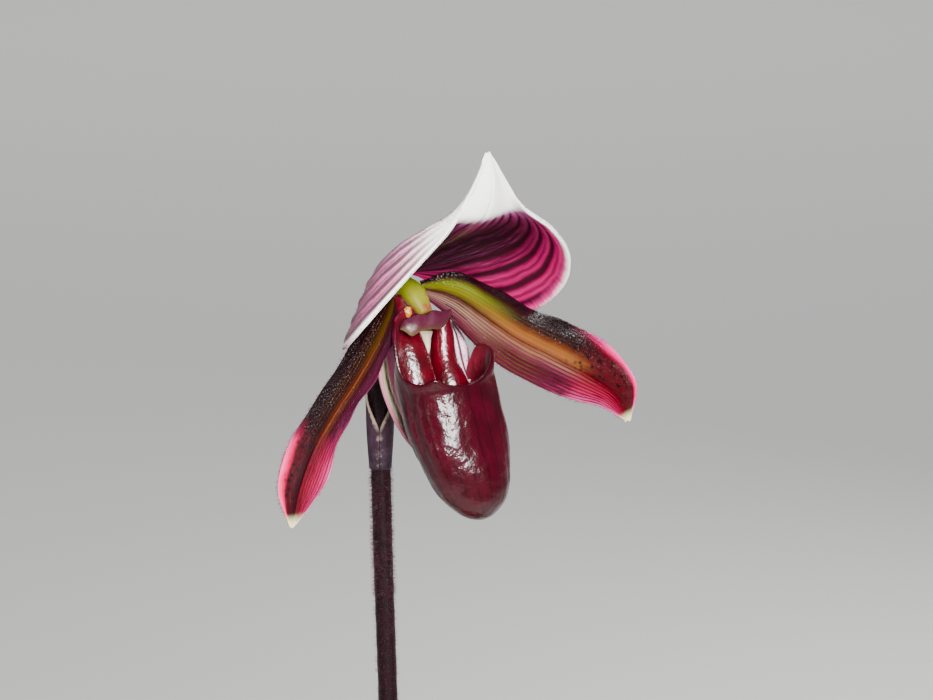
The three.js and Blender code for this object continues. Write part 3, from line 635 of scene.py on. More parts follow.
def makeColumnTissue():
    # waxy yellow-green tissue, with a red flush low on its front
    made, node = newMaterial("columnTissue", {
        "Roughness": 0.4, "Subsurface Weight": 0.15, "Subsurface Scale": 1 * mm, "IOR": 1.4})
    s, _, _ = shapePlace(node)
    place = node("TexCoord").outputs["Object"]
    cloud = node("TexNoise", place, sockets={"Scale": perMm / 2.5, "Detail": 3.0})
    ground = node("ValToRGB", s, stops=[
        (0.0, "#3e4600"), (0.4, "#606600"), (0.7, "#7a7c1c"), (1.0, "#70601c")])
    flush = node("MapRange", cloud, 0.58, 0.66, 0.0, 0.8, interpolation_type="SMOOTHSTEP")
    flush = node("Math", flush, node("MapRange", s, 0.5, 0.8, 0.0, 1.0), operation="MULTIPLY")
    colour = node("Mix", flush, ground, "#8c1a34", data_type="RGBA")
    bump = node("Bump", sockets={"Strength": 0.2, "Distance": 0.2 * mm, "Height": cloud})
    return fillShader(made, {"Base Color": colour, "Normal": bump})


def makeStaminodeTissue():
    # mauve shield with an olive net near its lower edge
    made, node = newMaterial("staminodeTissue", {
        "Roughness": 0.38, "Subsurface Weight": 0.1, "Subsurface Scale": 0.8 * mm, "Coat Weight": 0.1,
        "Coat Roughness": 0.2, "IOR": 1.4})
    s, t, _ = shapePlace(node)
    net = node("TexVoronoi", node("TexCoord").outputs["Object"], feature="DISTANCE_TO_EDGE",
               sockets={"Scale": perMm / 1.1})
    line = node("MapRange", net, 0.02, 0.12, 1.0, 0.0, interpolation_type="SMOOTHSTEP")
    ground = node("ValToRGB", t, stops=[
        (0.0, "#401022"), (0.5, "#40181e"), (0.8, "#46301c"), (1.0, "#40400f")])
    left = node("Math", node("MapRange", s, 0.45, 0.12, 0.0, 0.8, interpolation_type="SMOOTHSTEP"),
                node("MapRange", t, -0.4, 0.4, 0.0, 1.0), operation="MULTIPLY")
    ground = node("Mix", left, ground, "#605230", data_type="RGBA")
    colour = node("Mix", node("Math", line, 0.55, operation="MULTIPLY"), ground, "#44102a",
                  data_type="RGBA")
    bump = node("Bump", sockets={"Strength": 0.35, "Distance": 0.2 * mm, "Height": net})
    return fillShader(made, {"Base Color": colour, "Normal": bump})


def makePlain(name, dark, light, cloudSize, grainSize, constants):
    # a tissue with cloudy colour between two tones, and fine bumps; both sizes are in mm
    made, node = newMaterial(name, constants)
    place = node("TexCoord").outputs["Object"]
    cloud = node("TexNoise", place, sockets={"Scale": perMm / cloudSize, "Detail": 4.0})
    colour = node("ValToRGB", cloud, stops=[(0.35, dark), (0.65, light)])
    grain = node("TexNoise", place, sockets={"Scale": perMm / grainSize, "Detail": 3.0})
    bump = node("Bump", sockets={"Strength": 0.4, "Distance": 0.2 * mm, "Height": grain})
    return fillShader(made, {"Base Color": colour, "Normal": bump})


def makeBractTissue():
    # a dry sheath: purple-grey and mottled, with pale cream edges round its opening and a few pale scars
    made, node = newMaterial("bractTissue", {"Roughness": 0.65, "Specular IOR Level": 0.3})
    s, _, a = shapePlace(node)
    cloud = node("TexNoise", node("TexCoord").outputs["Object"], sockets={
        "Scale": perMm / 1.6, "Detail": 5.0, "Roughness": 0.65})
    ground = node("ValToRGB", s, stops=[
        (0.0, "#170a14"), (0.3, "#28101e"), (0.7, "#34121e"), (1.0, "#2c1c26")])
    ground = node("Mix", node("MapRange", cloud, 0.42, 0.62, 0.0, 0.7), ground, "#3c2438", data_type="RGBA")
    rough = ragged(node, a, cloud, 0.3)
    edge = node("Math", node("MapRange", rough, 0.90, 0.97, 0.0, 0.8, interpolation_type="SMOOTHSTEP"),
                node("MapRange", s, 0.40, 0.5, 0.0, 1.0), operation="MULTIPLY")
    # scars run up from the foot beside the seam
    scar = node("Math", node("MapRange", rough, 0.93, 0.985, 0.0, 0.35),
                node("MapRange", cloud, 0.50, 0.64, 0.0, 1.0), operation="MULTIPLY")
    colour = node("Mix", node("Math", edge, scar, operation="MAXIMUM"), ground, "#a89884", data_type="RGBA")
    bump = node("Bump", sockets={"Strength": 0.6, "Distance": 0.2 * mm, "Height": cloud})
    return fillShader(made, {"Base Color": colour, "Normal": bump})


def makeClawTissue():
    # pale tissue stippled with pink, seen on the claw's inner edge
    made, node = newMaterial("clawTissue", {
        "Roughness": 0.35, "Specular IOR Level": 0.5, "Subsurface Weight": 0.1,
        "Subsurface Scale": 0.6 * mm, "Coat Weight": 0.3, "Coat Roughness": 0.15})
    _, _, a = shapePlace(node)
    # dots 0.5 mm apart, coarser than life so that they show
    dots = node("TexVoronoi", node("TexCoord").outputs["Object"], sockets={"Scale": perMm / 0.5})
    dot = node("MapRange", dots, 0.45, 0.2, 0.0, 0.75)
    colour = node("Mix", dot, "#dcb8c8", "#9a1c54", data_type="RGBA")
    furrow = node("MapRange", a, 0.22, 0.06, 0.0, 0.95, interpolation_type="SMOOTHSTEP")
    rims = node("MapRange", a, 0.88, 0.99, 0.0, 0.8, interpolation_type="SMOOTHSTEP")
    colour = node("Mix", node("Math", furrow, rims, operation="MAXIMUM"), colour, "#3c0418",
                  data_type="RGBA")
    return fillShader(made, {"Base Color": colour})


# Dorsal sepal: the hood

dorsalSepal = {
    "left": [(-2.4, -0.3, 3.2), (-11.5, 1.6, -2.6), (-19, 5, -5.6), (-24.4, 11.4, -5), (-26.2, 19, 0),
             (-22, 24.6, 7.5), (-15.5, 27.4, 14), (-9.4, 29, 19.4), (-4.8, 30.4, 26.5), (-1, 32, 34.2)],
    "leftShoulder": [(-1.3, -0.4, 3.8), (-5.4, 1.6, 5.2), (-9.4, 4.8, 7), (-12.4, 9.2, 9.2),
                     (-14, 14.6, 12.6), (-13, 19.4, 16.2), (-10.5, 23.8, 19.2), (-6.8, 27.4, 22.2),
                     (-3.2, 30.4, 27.4), (-0.8, 31.9, 34.3)],
    "midrib": [(0, -0.4, 3.9), (0, 2.6, 6.6), (0, 6.4, 8.8), (0, 10.6, 10.8), (0, 15, 12.8), (0, 20, 15.2),
               (0, 25, 18.2), (0, 29.4, 21.6), (0, 31.6, 27.2), (-0.6, 31.8, 34.4)],
    "rightShoulder": [(1.3, -0.4, 3.8), (5.4, 1.6, 5.2), (9.6, 4.6, 7), (13.8, 8.2, 9), (16.4, 12.8, 11.2),
                      (16, 17.8, 14), (12.6, 23, 17.4), (7.4, 27.4, 21.6), (2.8, 30.4, 27.4),
                      (-0.4, 31.9, 34.3)],
    "right": [(2.4, -0.3, 3.2), (11.8, 1.4, -3.4), (20.5, 4.6, -8), (28.2, 8.4, -8.6), (31.4, 14.6, -2.6),
              (28.4, 20.4, 5.2), (20.4, 25.2, 13.2), (11, 28.2, 20), (4.6, 30.2, 27.5), (-0.2, 32, 34.2)],
}
sepalLook = {
    "thickness": 0.8, "rows": 150, "columns": 120, "veins": 9.5, "veinDepth": 0.32, "midribDepth": 0.3,
    "veinWander": 0.05,
}
sepalInside, sepalOutside = makeSepalInside(), makeSepalOutside()


def sepalRelief(s, t):
    # furrows over the veins, deepest in the middle of the sepal, and a keel along the midrib
    furrow = (math.cos(t * math.pi * 2 * sepalLook["veins"]) + 1) / 2
    open = smooth(0.05, 0.25, s) * (1 - smooth(0.62, 0.76, s)) * (1 - smooth(0.9, 1, abs(t)))
    keel = hump(t, 0, 0.03) * (1 - smooth(0.9, 1, s))
    return -furrow ** 2 * sepalLook["veinDepth"] * open - keel * sepalLook["midribDepth"]


sepalSurface = railSheet(dorsalSepal)
work = sheetMesh(sepalSurface, sepalLook["rows"], sepalLook["columns"], sepalRelief)
sepal = finishPiece("hood_sepal", work, [sepalInside, sepalOutside], ["dorsal_sepal"])
thicken(sepal, sepalLook["thickness"], underside=1)
print("dorsal sepal made")


# Petals

rightPetal = {
    "upper": [(3.4, 0.7, 1.3), (10.5, 4.4, 2.3), (18.5, 7.2, -2.7), (26.5, 9.3, -8.4), (35, 11, -13),
              (43.2, 12.8, -18.8), (49.7, 14.4, -28), (47.2, 15.5, -36.4)],
    "midrib": [(3.9, 0.9, -0.2), (8, 6.4, -1.6), (14, 9.6, -6.9), (20.6, 11.3, -12.5), (28.5, 12.5, -17.8),
               (37, 13.8, -23.6), (44, 15, -30), (46.7, 15.5, -36.8)],
    "lower": [(3.4, 1.2, -1.7), (6.4, 6.4, -6), (11.4, 8.8, -13), (17.7, 10.3, -19.2), (24.8, 11.6, -24.2),
              (32.3, 13, -28.7), (39.8, 14.3, -31.8), (46.2, 15.5, -36.6)],
}
leftPetal = {
    "upper": [(-3.4, 0.7, 1.3), (-11.5, 4.3, -0.2), (-18.8, 7.1, -5.2), (-26, 9.2, -10.6), (-34, 11.3, -16),
              (-42, 13.6, -22.2), (-45.4, 15, -29.5), (-43.8, 15.5, -37.2)],
    "midrib": [(-3.9, 0.9, -0.2), (-9, 6.2, -2.4), (-15.4, 9.4, -7), (-22, 11.4, -12), (-29.3, 13.1, -17.3),
               (-36, 14.7, -22.8), (-41, 15.7, -30), (-43.3, 15.5, -37.7)],
    "lower": [(-3.4, 1.2, -1.7), (-7.6, 5.9, -5.4), (-12.8, 8.7, -10.6), (-18.5, 10.6, -15),
              (-24.7, 12.2, -19), (-29.8, 13.6, -24.5), (-34.5, 14.8, -31.5), (-42.8, 15.5, -37.4)],
}
petalLook = {
    "thickness": 0.8, "rows": 150, "columns": 64, "fold": 0.06, "foldWidth": 0.07, "foldDepth": 0.5,
    "band": -0.42, "bandWidth": 0.3, "bandHeight": 0.6, "ribs": 9.5, "ribHeight": 0.05, "ripple": 0.28,
}
petalFronts = {side: makePetalFront(side) for side in petalColours}
petalBack = makePetalBack()


def petalRelief(s, t):
    # a furrow along the fold, a full upper band, ribs below and a slight ripple at the margins
    body = smooth(0.02, 0.2, s) * (1 - smooth(0.86, 1, s))
    fold = hump(t, petalLook["fold"], petalLook["foldWidth"]) * petalLook["foldDepth"]
    band = hump(t, petalLook["band"], petalLook["bandWidth"]) * petalLook["bandHeight"]
    ribs = math.cos(t * math.pi * 2 * petalLook["ribs"]) * petalLook["ribHeight"] * smooth(0.05, 0.2, t)
    ripple = math.sin(s * 31 + t * 2) * petalLook["ripple"] * smooth(0.7, 1, abs(t))
    return (band - fold + ribs + ripple) * body


petalSurfaces = {"right": railSheet(rightPetal), "left": railSheet(leftPetal)}
for name, surface in petalSurfaces.items():
    work = sheetMesh(surface, petalLook["rows"], petalLook["columns"], petalRelief, flip=name == "left")
    petal = finishPiece(name + "_petal", work, [petalFronts[name], petalBack], ["petal_" + name])
    thicken(petal, petalLook["thickness"], underside=1)
print("petals made")


# Synsepal: the two lower sepals, grown together behind the lip

synsepal = {
    "left": [(-2.2, -0.3, -3.2), (-7.6, 1.4, -8), (-10.4, 3.6, -15), (-9.9, 5.2, -22), (-6.6, 6.4, -30),
             (-0.8, 7.4, -37)],
    "midrib": [(0, -0.8, -3.9), (0, -2.5, -9), (0, -2.7, -15), (0, -1.2, -22), (0, 2, -30),
               (0, 7.4, -37.2)],
    "right": [(2.2, -0.3, -3.2), (7.6, 1.8, -8), (11.8, 4.6, -15), (10.4, 6.2, -22), (6.5, 7, -30),
              (0.8, 7.4, -37)],
}
synsepalLook = {"thickness": 0.8, "rows": 90, "columns": 60, "veins": 6.5, "veinDepth": 0.12}
synsepalTissue = makeSynsepalTissue()


def synsepalRelief(s, t):
    open = smooth(0.05, 0.2, s) * (1 - smooth(0.85, 1, s))
    return math.cos(t * math.pi * 2 * synsepalLook["veins"]) * synsepalLook["veinDepth"] * open


synsepalSurface = railSheet(synsepal)
work = sheetMesh(synsepalSurface, synsepalLook["rows"], synsepalLook["columns"], synsepalRelief)
lowerSepals = finishPiece("lower_sepals", work, [synsepalTissue], ["synsepal"])
thicken(lowerSepals, synsepalLook["thickness"])
print("synsepal made")


# Lip: the slipper, its ears and its folded-in side lobes

pouch = {
    "toe": -45.4, "neck": -17, "wall": 0.9, "across": -0.3, "crowding": 1.6,
    # height of the rim, every 10 degrees from the back, by its left side, its front and its right side
    "rim": [-2, -2, -2.1, -2.3, -2.6, -2.8, -3.2, -4.6, -8.4, -12.6, -14.4, -14.9, -15.2, -14.8, -14, -15.2,
            -15.8, -16.1, -16.5, -16.3, -16, -15.4, -14.6, -13.9, -13.2, -12.6, -12.1, -11.9, -12.1, -13,
            -16.6, -19, -13.5, -8.5, -5.6, -4.3, -3.6],
    "halfWidth": [7.9, 8.9, 10.1, 11.1, 11.4, 11.3],
    "halfDepth": [6.8, 7.5, 8.1, 8.6, 8.7, 8.6],
    "forward": [22.1, 20.3, 18.4, 16.2, 14.1, 12.4],
    "toeRoundness": 2.16, "toeShare": 0.42,
    "clawReach": 0.7, "clawSide": {"left": (80, 130), "right": (116, 132)},
    "clawWidth": {"left": [11.3, 10.4, 8.8, 5.4], "right": [11.3, 9.2, 6.6, 4.2]},
    "clawDepth": [8.6, 6.6, 4.2, 2.2],
    "clawForward": {"left": [12.4, 10.8, 8.6, 5], "right": [12.4, 9.4, 6.2, 3.2]},
    "earLean": {"left": 2, "right": 2.6, "forward": 2.6},
}
lipLook = {
    "rows": 88, "columns": 120, "veins": 10, "veinDepth": 0.06, "swell": 0.5, "dimples": 0.12,
    "crease": -0.4, "creaseWidth": 0.03, "creaseDepth": 0.5,
}
lobeTones = ["#380008", "#4c000e", "#600014"]
lobeTissue = makeLipInside("lobeTissue", 0, 1, lobeTones)
lobeEdged = makeLipInside("lobeTissueFolded", 1, 1, lobeTones)
# the slipper's own lining is brighter and less wet than the lobes
lipInside = makeLipInside("lipTissueInside", 0, 0.25, ["#3c0410", "#500616", "#64081e"])
lipOutside, clawTissue = makeLipOutside(), makeClawTissue()


def pouchSurface(s, t):
    degrees = t * 180
    side = "left" if t < 0 else "right"
    rim = along(pouch["rim"], (degrees + 180) / 360)
    up = pouch["toe"] + (rim - pouch["toe"]) * s ** pouch["crowding"]
    level = (up - pouch["toe"]) / (pouch["neck"] - pouch["toe"])
    low = min(level, 1)
    n = pouch["toeRoundness"]
    full = (1 - (1 - min(1, low / pouch["toeShare"])) ** n) ** (1 / n)
    width = full * along(pouch["halfWidth"], low)
    depth = full * along(pouch["halfDepth"], low)
    forward = along(pouch["forward"], low)
    if level > 1:
        rise = level - 1
        back = smooth(*pouch["clawSide"][side], abs(degrees))
        claw = rise / pouch["clawReach"]
        width = mix(width + rise * pouch["earLean"][side], along(pouch["clawWidth"][side], claw), back)
        depth = mix(depth + rise * pouch["earLean"]["forward"], along(pouch["clawDepth"], claw), back)
        forward = mix(forward, along(pouch["clawForward"][side], claw), back)
    angle = math.radians(degrees)
    return flowerPoint(pouch["across"] + width * math.sin(angle), forward + depth * math.cos(angle), up)


def pouchRelief(s, t):
    # shallow furrows over the veins, a little swell and a crease down from the left ear
    body = smooth(0.1, 0.35, s) * (1 - smooth(0.9, 1, s))
    furrow = ((math.cos(t * math.pi * 2 * lipLook["veins"]) + 1) / 2) ** 6
    point = pouchSurface(s, t)
    swell = noise.noise(point / 7) * lipLook["swell"] + noise.noise(point / 2.2) * lipLook["dimples"]
    crease = hump(t, lipLook["crease"] - 0.05 * s, lipLook["creaseWidth"]) * smooth(0.35, 0.75, s)
    crease *= lipLook["creaseDepth"]
    return (swell - furrow * lipLook["veinDepth"] - crease) * body


work = sheetMesh(pouchSurface, lipLook["rows"], lipLook["columns"], pouchRelief, closed=True)
slipper = finishPiece("slipper", work, [lipOutside, lipInside], ["pouch"])
thicken(slipper, pouch["wall"], underside=1, offset=-1)
roundOff(slipper)

sideLobes = {
    "left": {
        "path": [(-1.9, 0.8, -0.9), (-3.4, 2.8, -5.2), (-4.9, 5.6, -10.5), (-5.4, 8, -16.5),
                 (-5.2, 9.8, -22), (-4.7, 11, -26)],
        "halfWidth": [2.2, 3, 4.2, 4.8, 4.5, 3.6], "halfDepth": [1.8, 2.2, 3.3, 3.9, 3.9, 3.2],
    },
    "right": {
        "path": [(5.4, 4.6, -6.2), (5.1, 5.2, -10), (4.1, 6.6, -15), (3.8, 8.6, -20), (4.2, 10.6, -26)],
        "halfWidth": [2, 2.5, 2.9, 3.9, 3.9], "halfDepth": [1.8, 2.3, 2.6, 3.4, 3.2],
    },
}
for name, lobe in sideLobes.items():
    surface = tubeSurface([flowerPoint(*key) for key in lobe["path"]], lobe["halfWidth"], lobe["halfDepth"])
    work = sheetMesh(surface, rows=48, columns=48, closed=True, capped=True)
    finishPiece("lobe_" + name, work, [lobeEdged if name == "left" else lobeTissue])

# the inner edge of the claw shows as a pale furrowed strip between the right lobe and the right ear
clawEdge = {
    "left": [(8.28, 4, -8.3), (7.87, 5, -10.6), (7.32, 6, -13.2), (6.9, 7.5, -15.9), (7.5, 9.5, -19.6)],
    "middle": [(8.56, 3.6, -8.1), (9.2, 4.5, -10.7), (9.2, 5.5, -13.6), (8.7, 7, -16.5), (8.25, 9, -20.2)],
    "right": [(8.83, 4, -8.2), (10.3, 5, -10.9), (10.9, 6, -13.6), (10.1, 7.5, -16.2), (8.8, 9.5, -20.5)],
}
clawEdgeLook = {"thickness": 0.5, "foldHeight": 0.5}


def clawRelief(s, t):
    # two soft folds, one on each side of the furrow
    return clawEdgeLook["foldHeight"] * math.sin(abs(t) * math.pi) * math.sin(s * math.pi)


work = sheetMesh(railSheet(clawEdge), rows=40, columns=16, relief=clawRelief)
strip = finishPiece("claw_edge", work, [clawTissue])
thicken(strip, clawEdgeLook["thickness"])
print("lip made")


# Column, staminode and anthers

column = {
    "path": [(0, -1, 0.3), (0, 2.8, -0.5), (0, 6.6, -4)], "radius": [2.7, 2.6, 1.7],
    "ridges": 0.07, "twist": 0.05,
}
staminodeLook = {"thickness": 0.5, "swellings": (0.28, 0.72), "swellHeight": 0.15, "dimpleDepth": 0.3}
staminode = {
    "upper": [(-7.6, 8, -5.1), (-6.7, 8.2, -3.7), (-5.3, 8.4, -3.3), (-3.5, 8.8, -2.9), (-1.3, 9, -3.3),
              (0.3, 9, -2.8), (2.5, 8.8, -3.6), (5.45, 8.4, -3.9)],
    "middle": [(-7.7, 8.1, -5.3), (-6.9, 9, -4.8), (-5.7, 9.6, -5), (-3.9, 10.1, -4.6), (-1.5, 10.3, -4.8),
               (0.7, 10.1, -4.9), (2.9, 9.6, -4.8), (5.5, 8.6, -4.1)],
    "lower": [(-7.7, 8.2, -5.4), (-7.2, 9, -5.7), (-6.1, 9.8, -6.8), (-4.3, 10.3, -6.1), (-1.7, 10.3, -6.2),
              (1.1, 10, -6.7), (3.2, 9.4, -5.9), (5.4, 8.5, -4.3)],
}
stigma = {
    "left": [(-3.4, 6.3, -7), (-1.7, 6.3, -8.2), (-0.65, 6.6, -10.2), (-0.45, 7.2, -12.3)],
    "middle": [(-0.8, 6.9, -7.4), (-0.3, 7, -8.8), (0, 7.1, -10.5), (-0.4, 7.3, -12.3)],
    "right": [(1.7, 6.3, -8.1), (1.1, 6.3, -9.3), (0.5, 6.6, -10.9), (-0.3, 7.2, -12.3)],
}
stigmaThickness = 0.6
anther = {
    "left": (-3.6, 5.4, -3), "right": (2.2, 4.6, -4.2), "radius": 0.95, "length": 1.25, "uneven": 0.12,
}
columnTissue, staminodeTissue = makeColumnTissue(), makeStaminodeTissue()
# pollen paste: ochre and a little sticky
pollen = makePlain("antherPollen", "#8c4a16", "#d89a3a", cloudSize=0.6, grainSize=0.2, constants={
    "Roughness": 0.35, "Subsurface Weight": 0.1, "Subsurface Scale": 0.5 * mm})
# the stigma's pale wax
stigmaTissue = makePlain("stigmaTissue", "#a8967a", "#c8bba4", cloudSize=1.5, grainSize=0.4, constants={
    "Roughness": 0.4, "Subsurface Weight": 0.15, "Subsurface Scale": 0.6 * mm})


def columnSwell(s, angle):
    return 1 + column["ridges"] * math.cos(3 * angle) * s + column["twist"] * math.sin(2 * angle + s * 4)


def staminodeRelief(s, t):
    # two low swellings and a dimple between them
    left, right = (hump(s, middle, 0.12) for middle in staminodeLook["swellings"])
    swell = (left + right) * staminodeLook["swellHeight"]
    return (swell - hump(s, 0.5, 0.1) * staminodeLook["dimpleDepth"]) * (1 - t * t)


surface = tubeSurface([flowerPoint(*key) for key in column["path"]], column["radius"], rib=columnSwell)
work = sheetMesh(surface, rows=40, columns=40, closed=True, capped=True)
finishPiece("column_body", work, [columnTissue], ["column"])
work = sheetMesh(railSheet(staminode), rows=60, columns=24, relief=staminodeRelief)
shield = finishPiece("staminode_shield", work, [staminodeTissue], ["staminode"])
thicken(shield, staminodeLook["thickness"])
roundOff(shield)
work = sheetMesh(railSheet(stigma), rows=30, columns=16)
pad = finishPiece("stigma_pad", work, [stigmaTissue])
thicken(pad, stigmaThickness)
for name in ("left", "right"):
    work = bmesh.new()
    bmesh.ops.create_icosphere(work, subdivisions=4, radius=anther["radius"])
    bmesh.ops.scale(work, vec=(1, 1, anther["length"]), verts=work.verts)
    for vert in work.verts:
        vert.co *= 1 + anther["uneven"] * noise.noise(vert.co * 1.6)
    bmesh.ops.translate(work, vec=flowerPoint(*anther[name]), verts=work.verts)
    finishPiece("pollen_" + name, work, [pollen], ["anther_" + name])
print("column made")


# Stalk, ovary and bract

scape = {
    "path": [(0, 0, 82.3), (1.2, 0.2, 132), (1.5, 0.2, 182), (0.7, 0, 226), (-0.1, 0, 254), (-0.6, 0, 280)],
    "radius": [2.1, 2.1], "waves": 0.02, "joints": 0.015,
}
ovary = {
    "ribs": 6, "ribHeight": 0.16,
    "path": [(-0.6, 0, 280.4), (-0.6, 0.5, 288), (-0.6, 1, 296), (-0.6, 1.4, 304.5), (-0.2, 0.8, 312),
             (1.5, -1.5, 317.2), (3.4, -3.95, 318.2)],
    "radius": [2, 2.2, 2.4, 2.6, 2.6, 2.7, 2.9],
}
bract = {
    "bottom": 277.5, "height": 21, "radius": [2.2, 2.5, 2.75, 2.85, 2.95, 3.05], "wall": 0.45,
    "slit": 0.5, "turn": -92, "opening": 0.42, "tipShare": 0.07, "narrowing": 1.3,
}
bractTissue = makeBractTissue()
# nearly black maroon epidermis, dull under its hairs
stalkSkin = makePlain("stalkEpidermis", "#0e0106", "#1c030a", cloudSize=2.4, grainSize=0.4, constants={
    "Roughness": 0.5, "Specular IOR Level": 0.15})


def scapeRib(s, angle):
    return 1 + scape["waves"] * math.sin(5 * angle + s * 9) + scape["joints"] * math.sin(s * 140)


def ovaryRib(s, angle):
    return 1 + ovary["ribHeight"] * (math.cos(angle * ovary["ribs"]) - 1) / 2


def bractSurface(s, t):
    climb = max(0, s - bract["opening"]) / (1 - bract["opening"])
    halfAngle = (180 - bract["slit"]) * mix(1, bract["tipShare"], climb ** bract["narrowing"])
    angle = math.radians(bract["turn"] + 180 + t * halfAngle)
    radius = along(bract["radius"], s)
    z = bract["bottom"] + s * bract["height"]
    foot, lean = ovary["path"][0], ovary["path"][2]
    back = max(0, z - foot[2]) / (lean[2] - foot[2]) * (lean[1] - foot[1])
    return Vector((foot[0] + radius * math.cos(angle), back + radius * math.sin(angle), z))


scapeSurface = tubeSurface([Vector(key) for key in scape["path"]], scape["radius"], rib=scapeRib)
work = sheetMesh(scapeSurface, rows=260, columns=32, closed=True, capped=True)
finishPiece("flower_stalk", work, [stalkSkin], ["scape"])
ovarySurface = tubeSurface([Vector(key) for key in ovary["path"]], ovary["radius"], rib=ovaryRib)
work = sheetMesh(ovarySurface, rows=100, columns=72, closed=True, capped=True)
finishPiece("seed_vessel", work, [stalkSkin], ["ovary"])
work = sheetMesh(bractSurface, rows=60, columns=96)
sheath = finishPiece("sheath", work, [bractTissue], ["bract"])
thicken(sheath, bract["wall"])
print("stalk, ovary and bract made")


# Hairs on the stalk, the ovary and the bract, along the margins and on the back of the hood

hairs = {
    "seed": 11, "bend": 0.22, "stalkRadius": 0.032, "sepalRadius": 0.04, "radius": 0.045,
    "sunk": 0.05, "rootHeight": 0.3, "edgeShare": 0.04,
}
# dry hairs: mauve-brown, paler than the skin under them, drawn thicker than life so that they show
paleHair = makePlain("plantHair", "#3c1a24", "#74505c", cloudSize=1, grainSize=0.5, constants={
    "Roughness": 0.6, "Specular IOR Level": 0.2})
# the right petal's margin hairs, dark maroon like the margin
darkHair = makePlain("marginHair", "#2a0812", "#5a1a30", cloudSize=1, grainSize=0.5, constants={
    "Roughness": 0.4})
draw = random.Random(hairs["seed"])
bentHair = hairTemplate(hairs["bend"])
margin = (0.995, 1)    # only the outermost strip of a sheet, on both sides


def furOver(name, surface, count, length, spread):
    # hairs standing out all over a tube; spread is the share of its length that they cover
    work = bmesh.new()
    for _ in range(count):
        s, t = draw.uniform(*spread), draw.uniform(-1, 1)
        root, ahead, aside, _ = surfaceAxes(surface, s, t)
        centre = root + surface(s, t + 1 if t < 0 else t - 1)
        outward = (root - centre / 2).normalized()
        lean = ahead * draw.uniform(-0.35, 0.25) + aside * draw.uniform(-0.4, 0.4)
        addHair(work, bentHair, root - outward * hairs["sunk"], (outward + lean).normalized(),
                length * draw.uniform(0.6, 1.15), hairs["stalkRadius"], draw.uniform(0, 2 * math.pi))
    finishPiece(name, work, [paleHair])


furOver("stalk_hairs_upper", scapeSurface, count=3400, length=0.95, spread=(0.76, 0.985))
furOver("stalk_hairs_lower", scapeSurface, count=4200, length=0.85, spread=(0.04, 0.76))
furOver("ovary_hairs", ovarySurface, count=2000, length=0.85, spread=(0.03, 0.93))


def furOnSheet(name, surface, count, length, radius, spread, across, material=paleHair):
    # hairs on the face of a sheet, or along its margins, where they stand out sideways; spread and across
    # are the shares of its length and of each half of its width that they cover
    work = bmesh.new()
    for _ in range(count):
        s, t = draw.uniform(*spread), draw.uniform(*across) * draw.choice((-1, 1))
        root, ahead, aside, normal = surfaceAxes(surface, s, t)
        edge = max(0, abs(t) - (1 - hairs["edgeShare"])) / hairs["edgeShare"]
        outward = normal * (1 - edge) + aside * math.copysign(edge, t)
        lean = ahead * draw.uniform(-0.1, 0.5) + aside * draw.uniform(-0.3, 0.3)
        root += normal * hairs["rootHeight"] * (1 - edge)    # just under the sheet's outer face
        addHair(work, bentHair, root, (outward + lean).normalized(),
                length * draw.uniform(0.5, 1.2), radius, draw.uniform(0, 2 * math.pi))
    finishPiece(name, work, [material])


furOnSheet("hood_hairs", sepalSurface, count=2600, length=0.55, radius=hairs["sepalRadius"],
           spread=(0.05, 0.8), across=(0, 1))
furOnSheet("hood_margin_hairs", sepalSurface, count=420, length=0.6, radius=hairs["sepalRadius"],
           spread=(0.1, 0.85), across=margin)
for name, surface in petalSurfaces.items():
    furOnSheet(name + "_petal_cilia", surface, count=520, length=0.8, radius=hairs["radius"],
               spread=(0.12, 0.97), across=margin, material=paleHair if name == "left" else darkHair)
furOnSheet("sheath_hairs", bractSurface, count=700, length=0.6, radius=hairs["radius"],
           spread=(0.02, 0.98), across=(0, 0.98))
print("hairs made")


# Leaves

leafThickness = 1.1
# rank and turn are where a leaf starts and where it ends up pointing, rise and droop its slope at each end
leafKeys = ("rank", "turn", "length", "width", "rise", "droop", "clasp", "upright", "twist")
leaves = [dict(zip(leafKeys, values)) for values in [
    (184, 203, 150, 35, 44, -36, 11.6, 15, 5),
    (4, -12, 158, 36, 48, -34, 10.1, 16, 5),
    (184, 170, 156, 37, 62, -24, 8.6, 19, -6),
    (4, 24, 148, 35, 66, -18, 7.1, 20, -5),
    (184, 206, 116, 29, 74, 6, 5.5, 27, 4),
    (4, -8, 88, 22, 78, 30, 4, 29, 3),
]]
leafShape = {
    "claspAngle": 84, "foot": 82.3, "steps": 60, "keel": 1.3, "bend": (0.6, 1.6), "opening": 0.8,
    "opened": 0.3, "swing": (0.1, 0.8), "groove": 0.35, "veins": 6, "veinHeight": 0.03, "wave": 0.5,
    "width": [0.5, 0.6, 0.82, 0.97, 1, 0.99, 0.93, 0.72, 0.1],
    "fold": [60, 56, 44, 33, 26, 22, 20, 18, 16],
    "rows": 130, "columns": 32, "tipRound": 0.03,
}


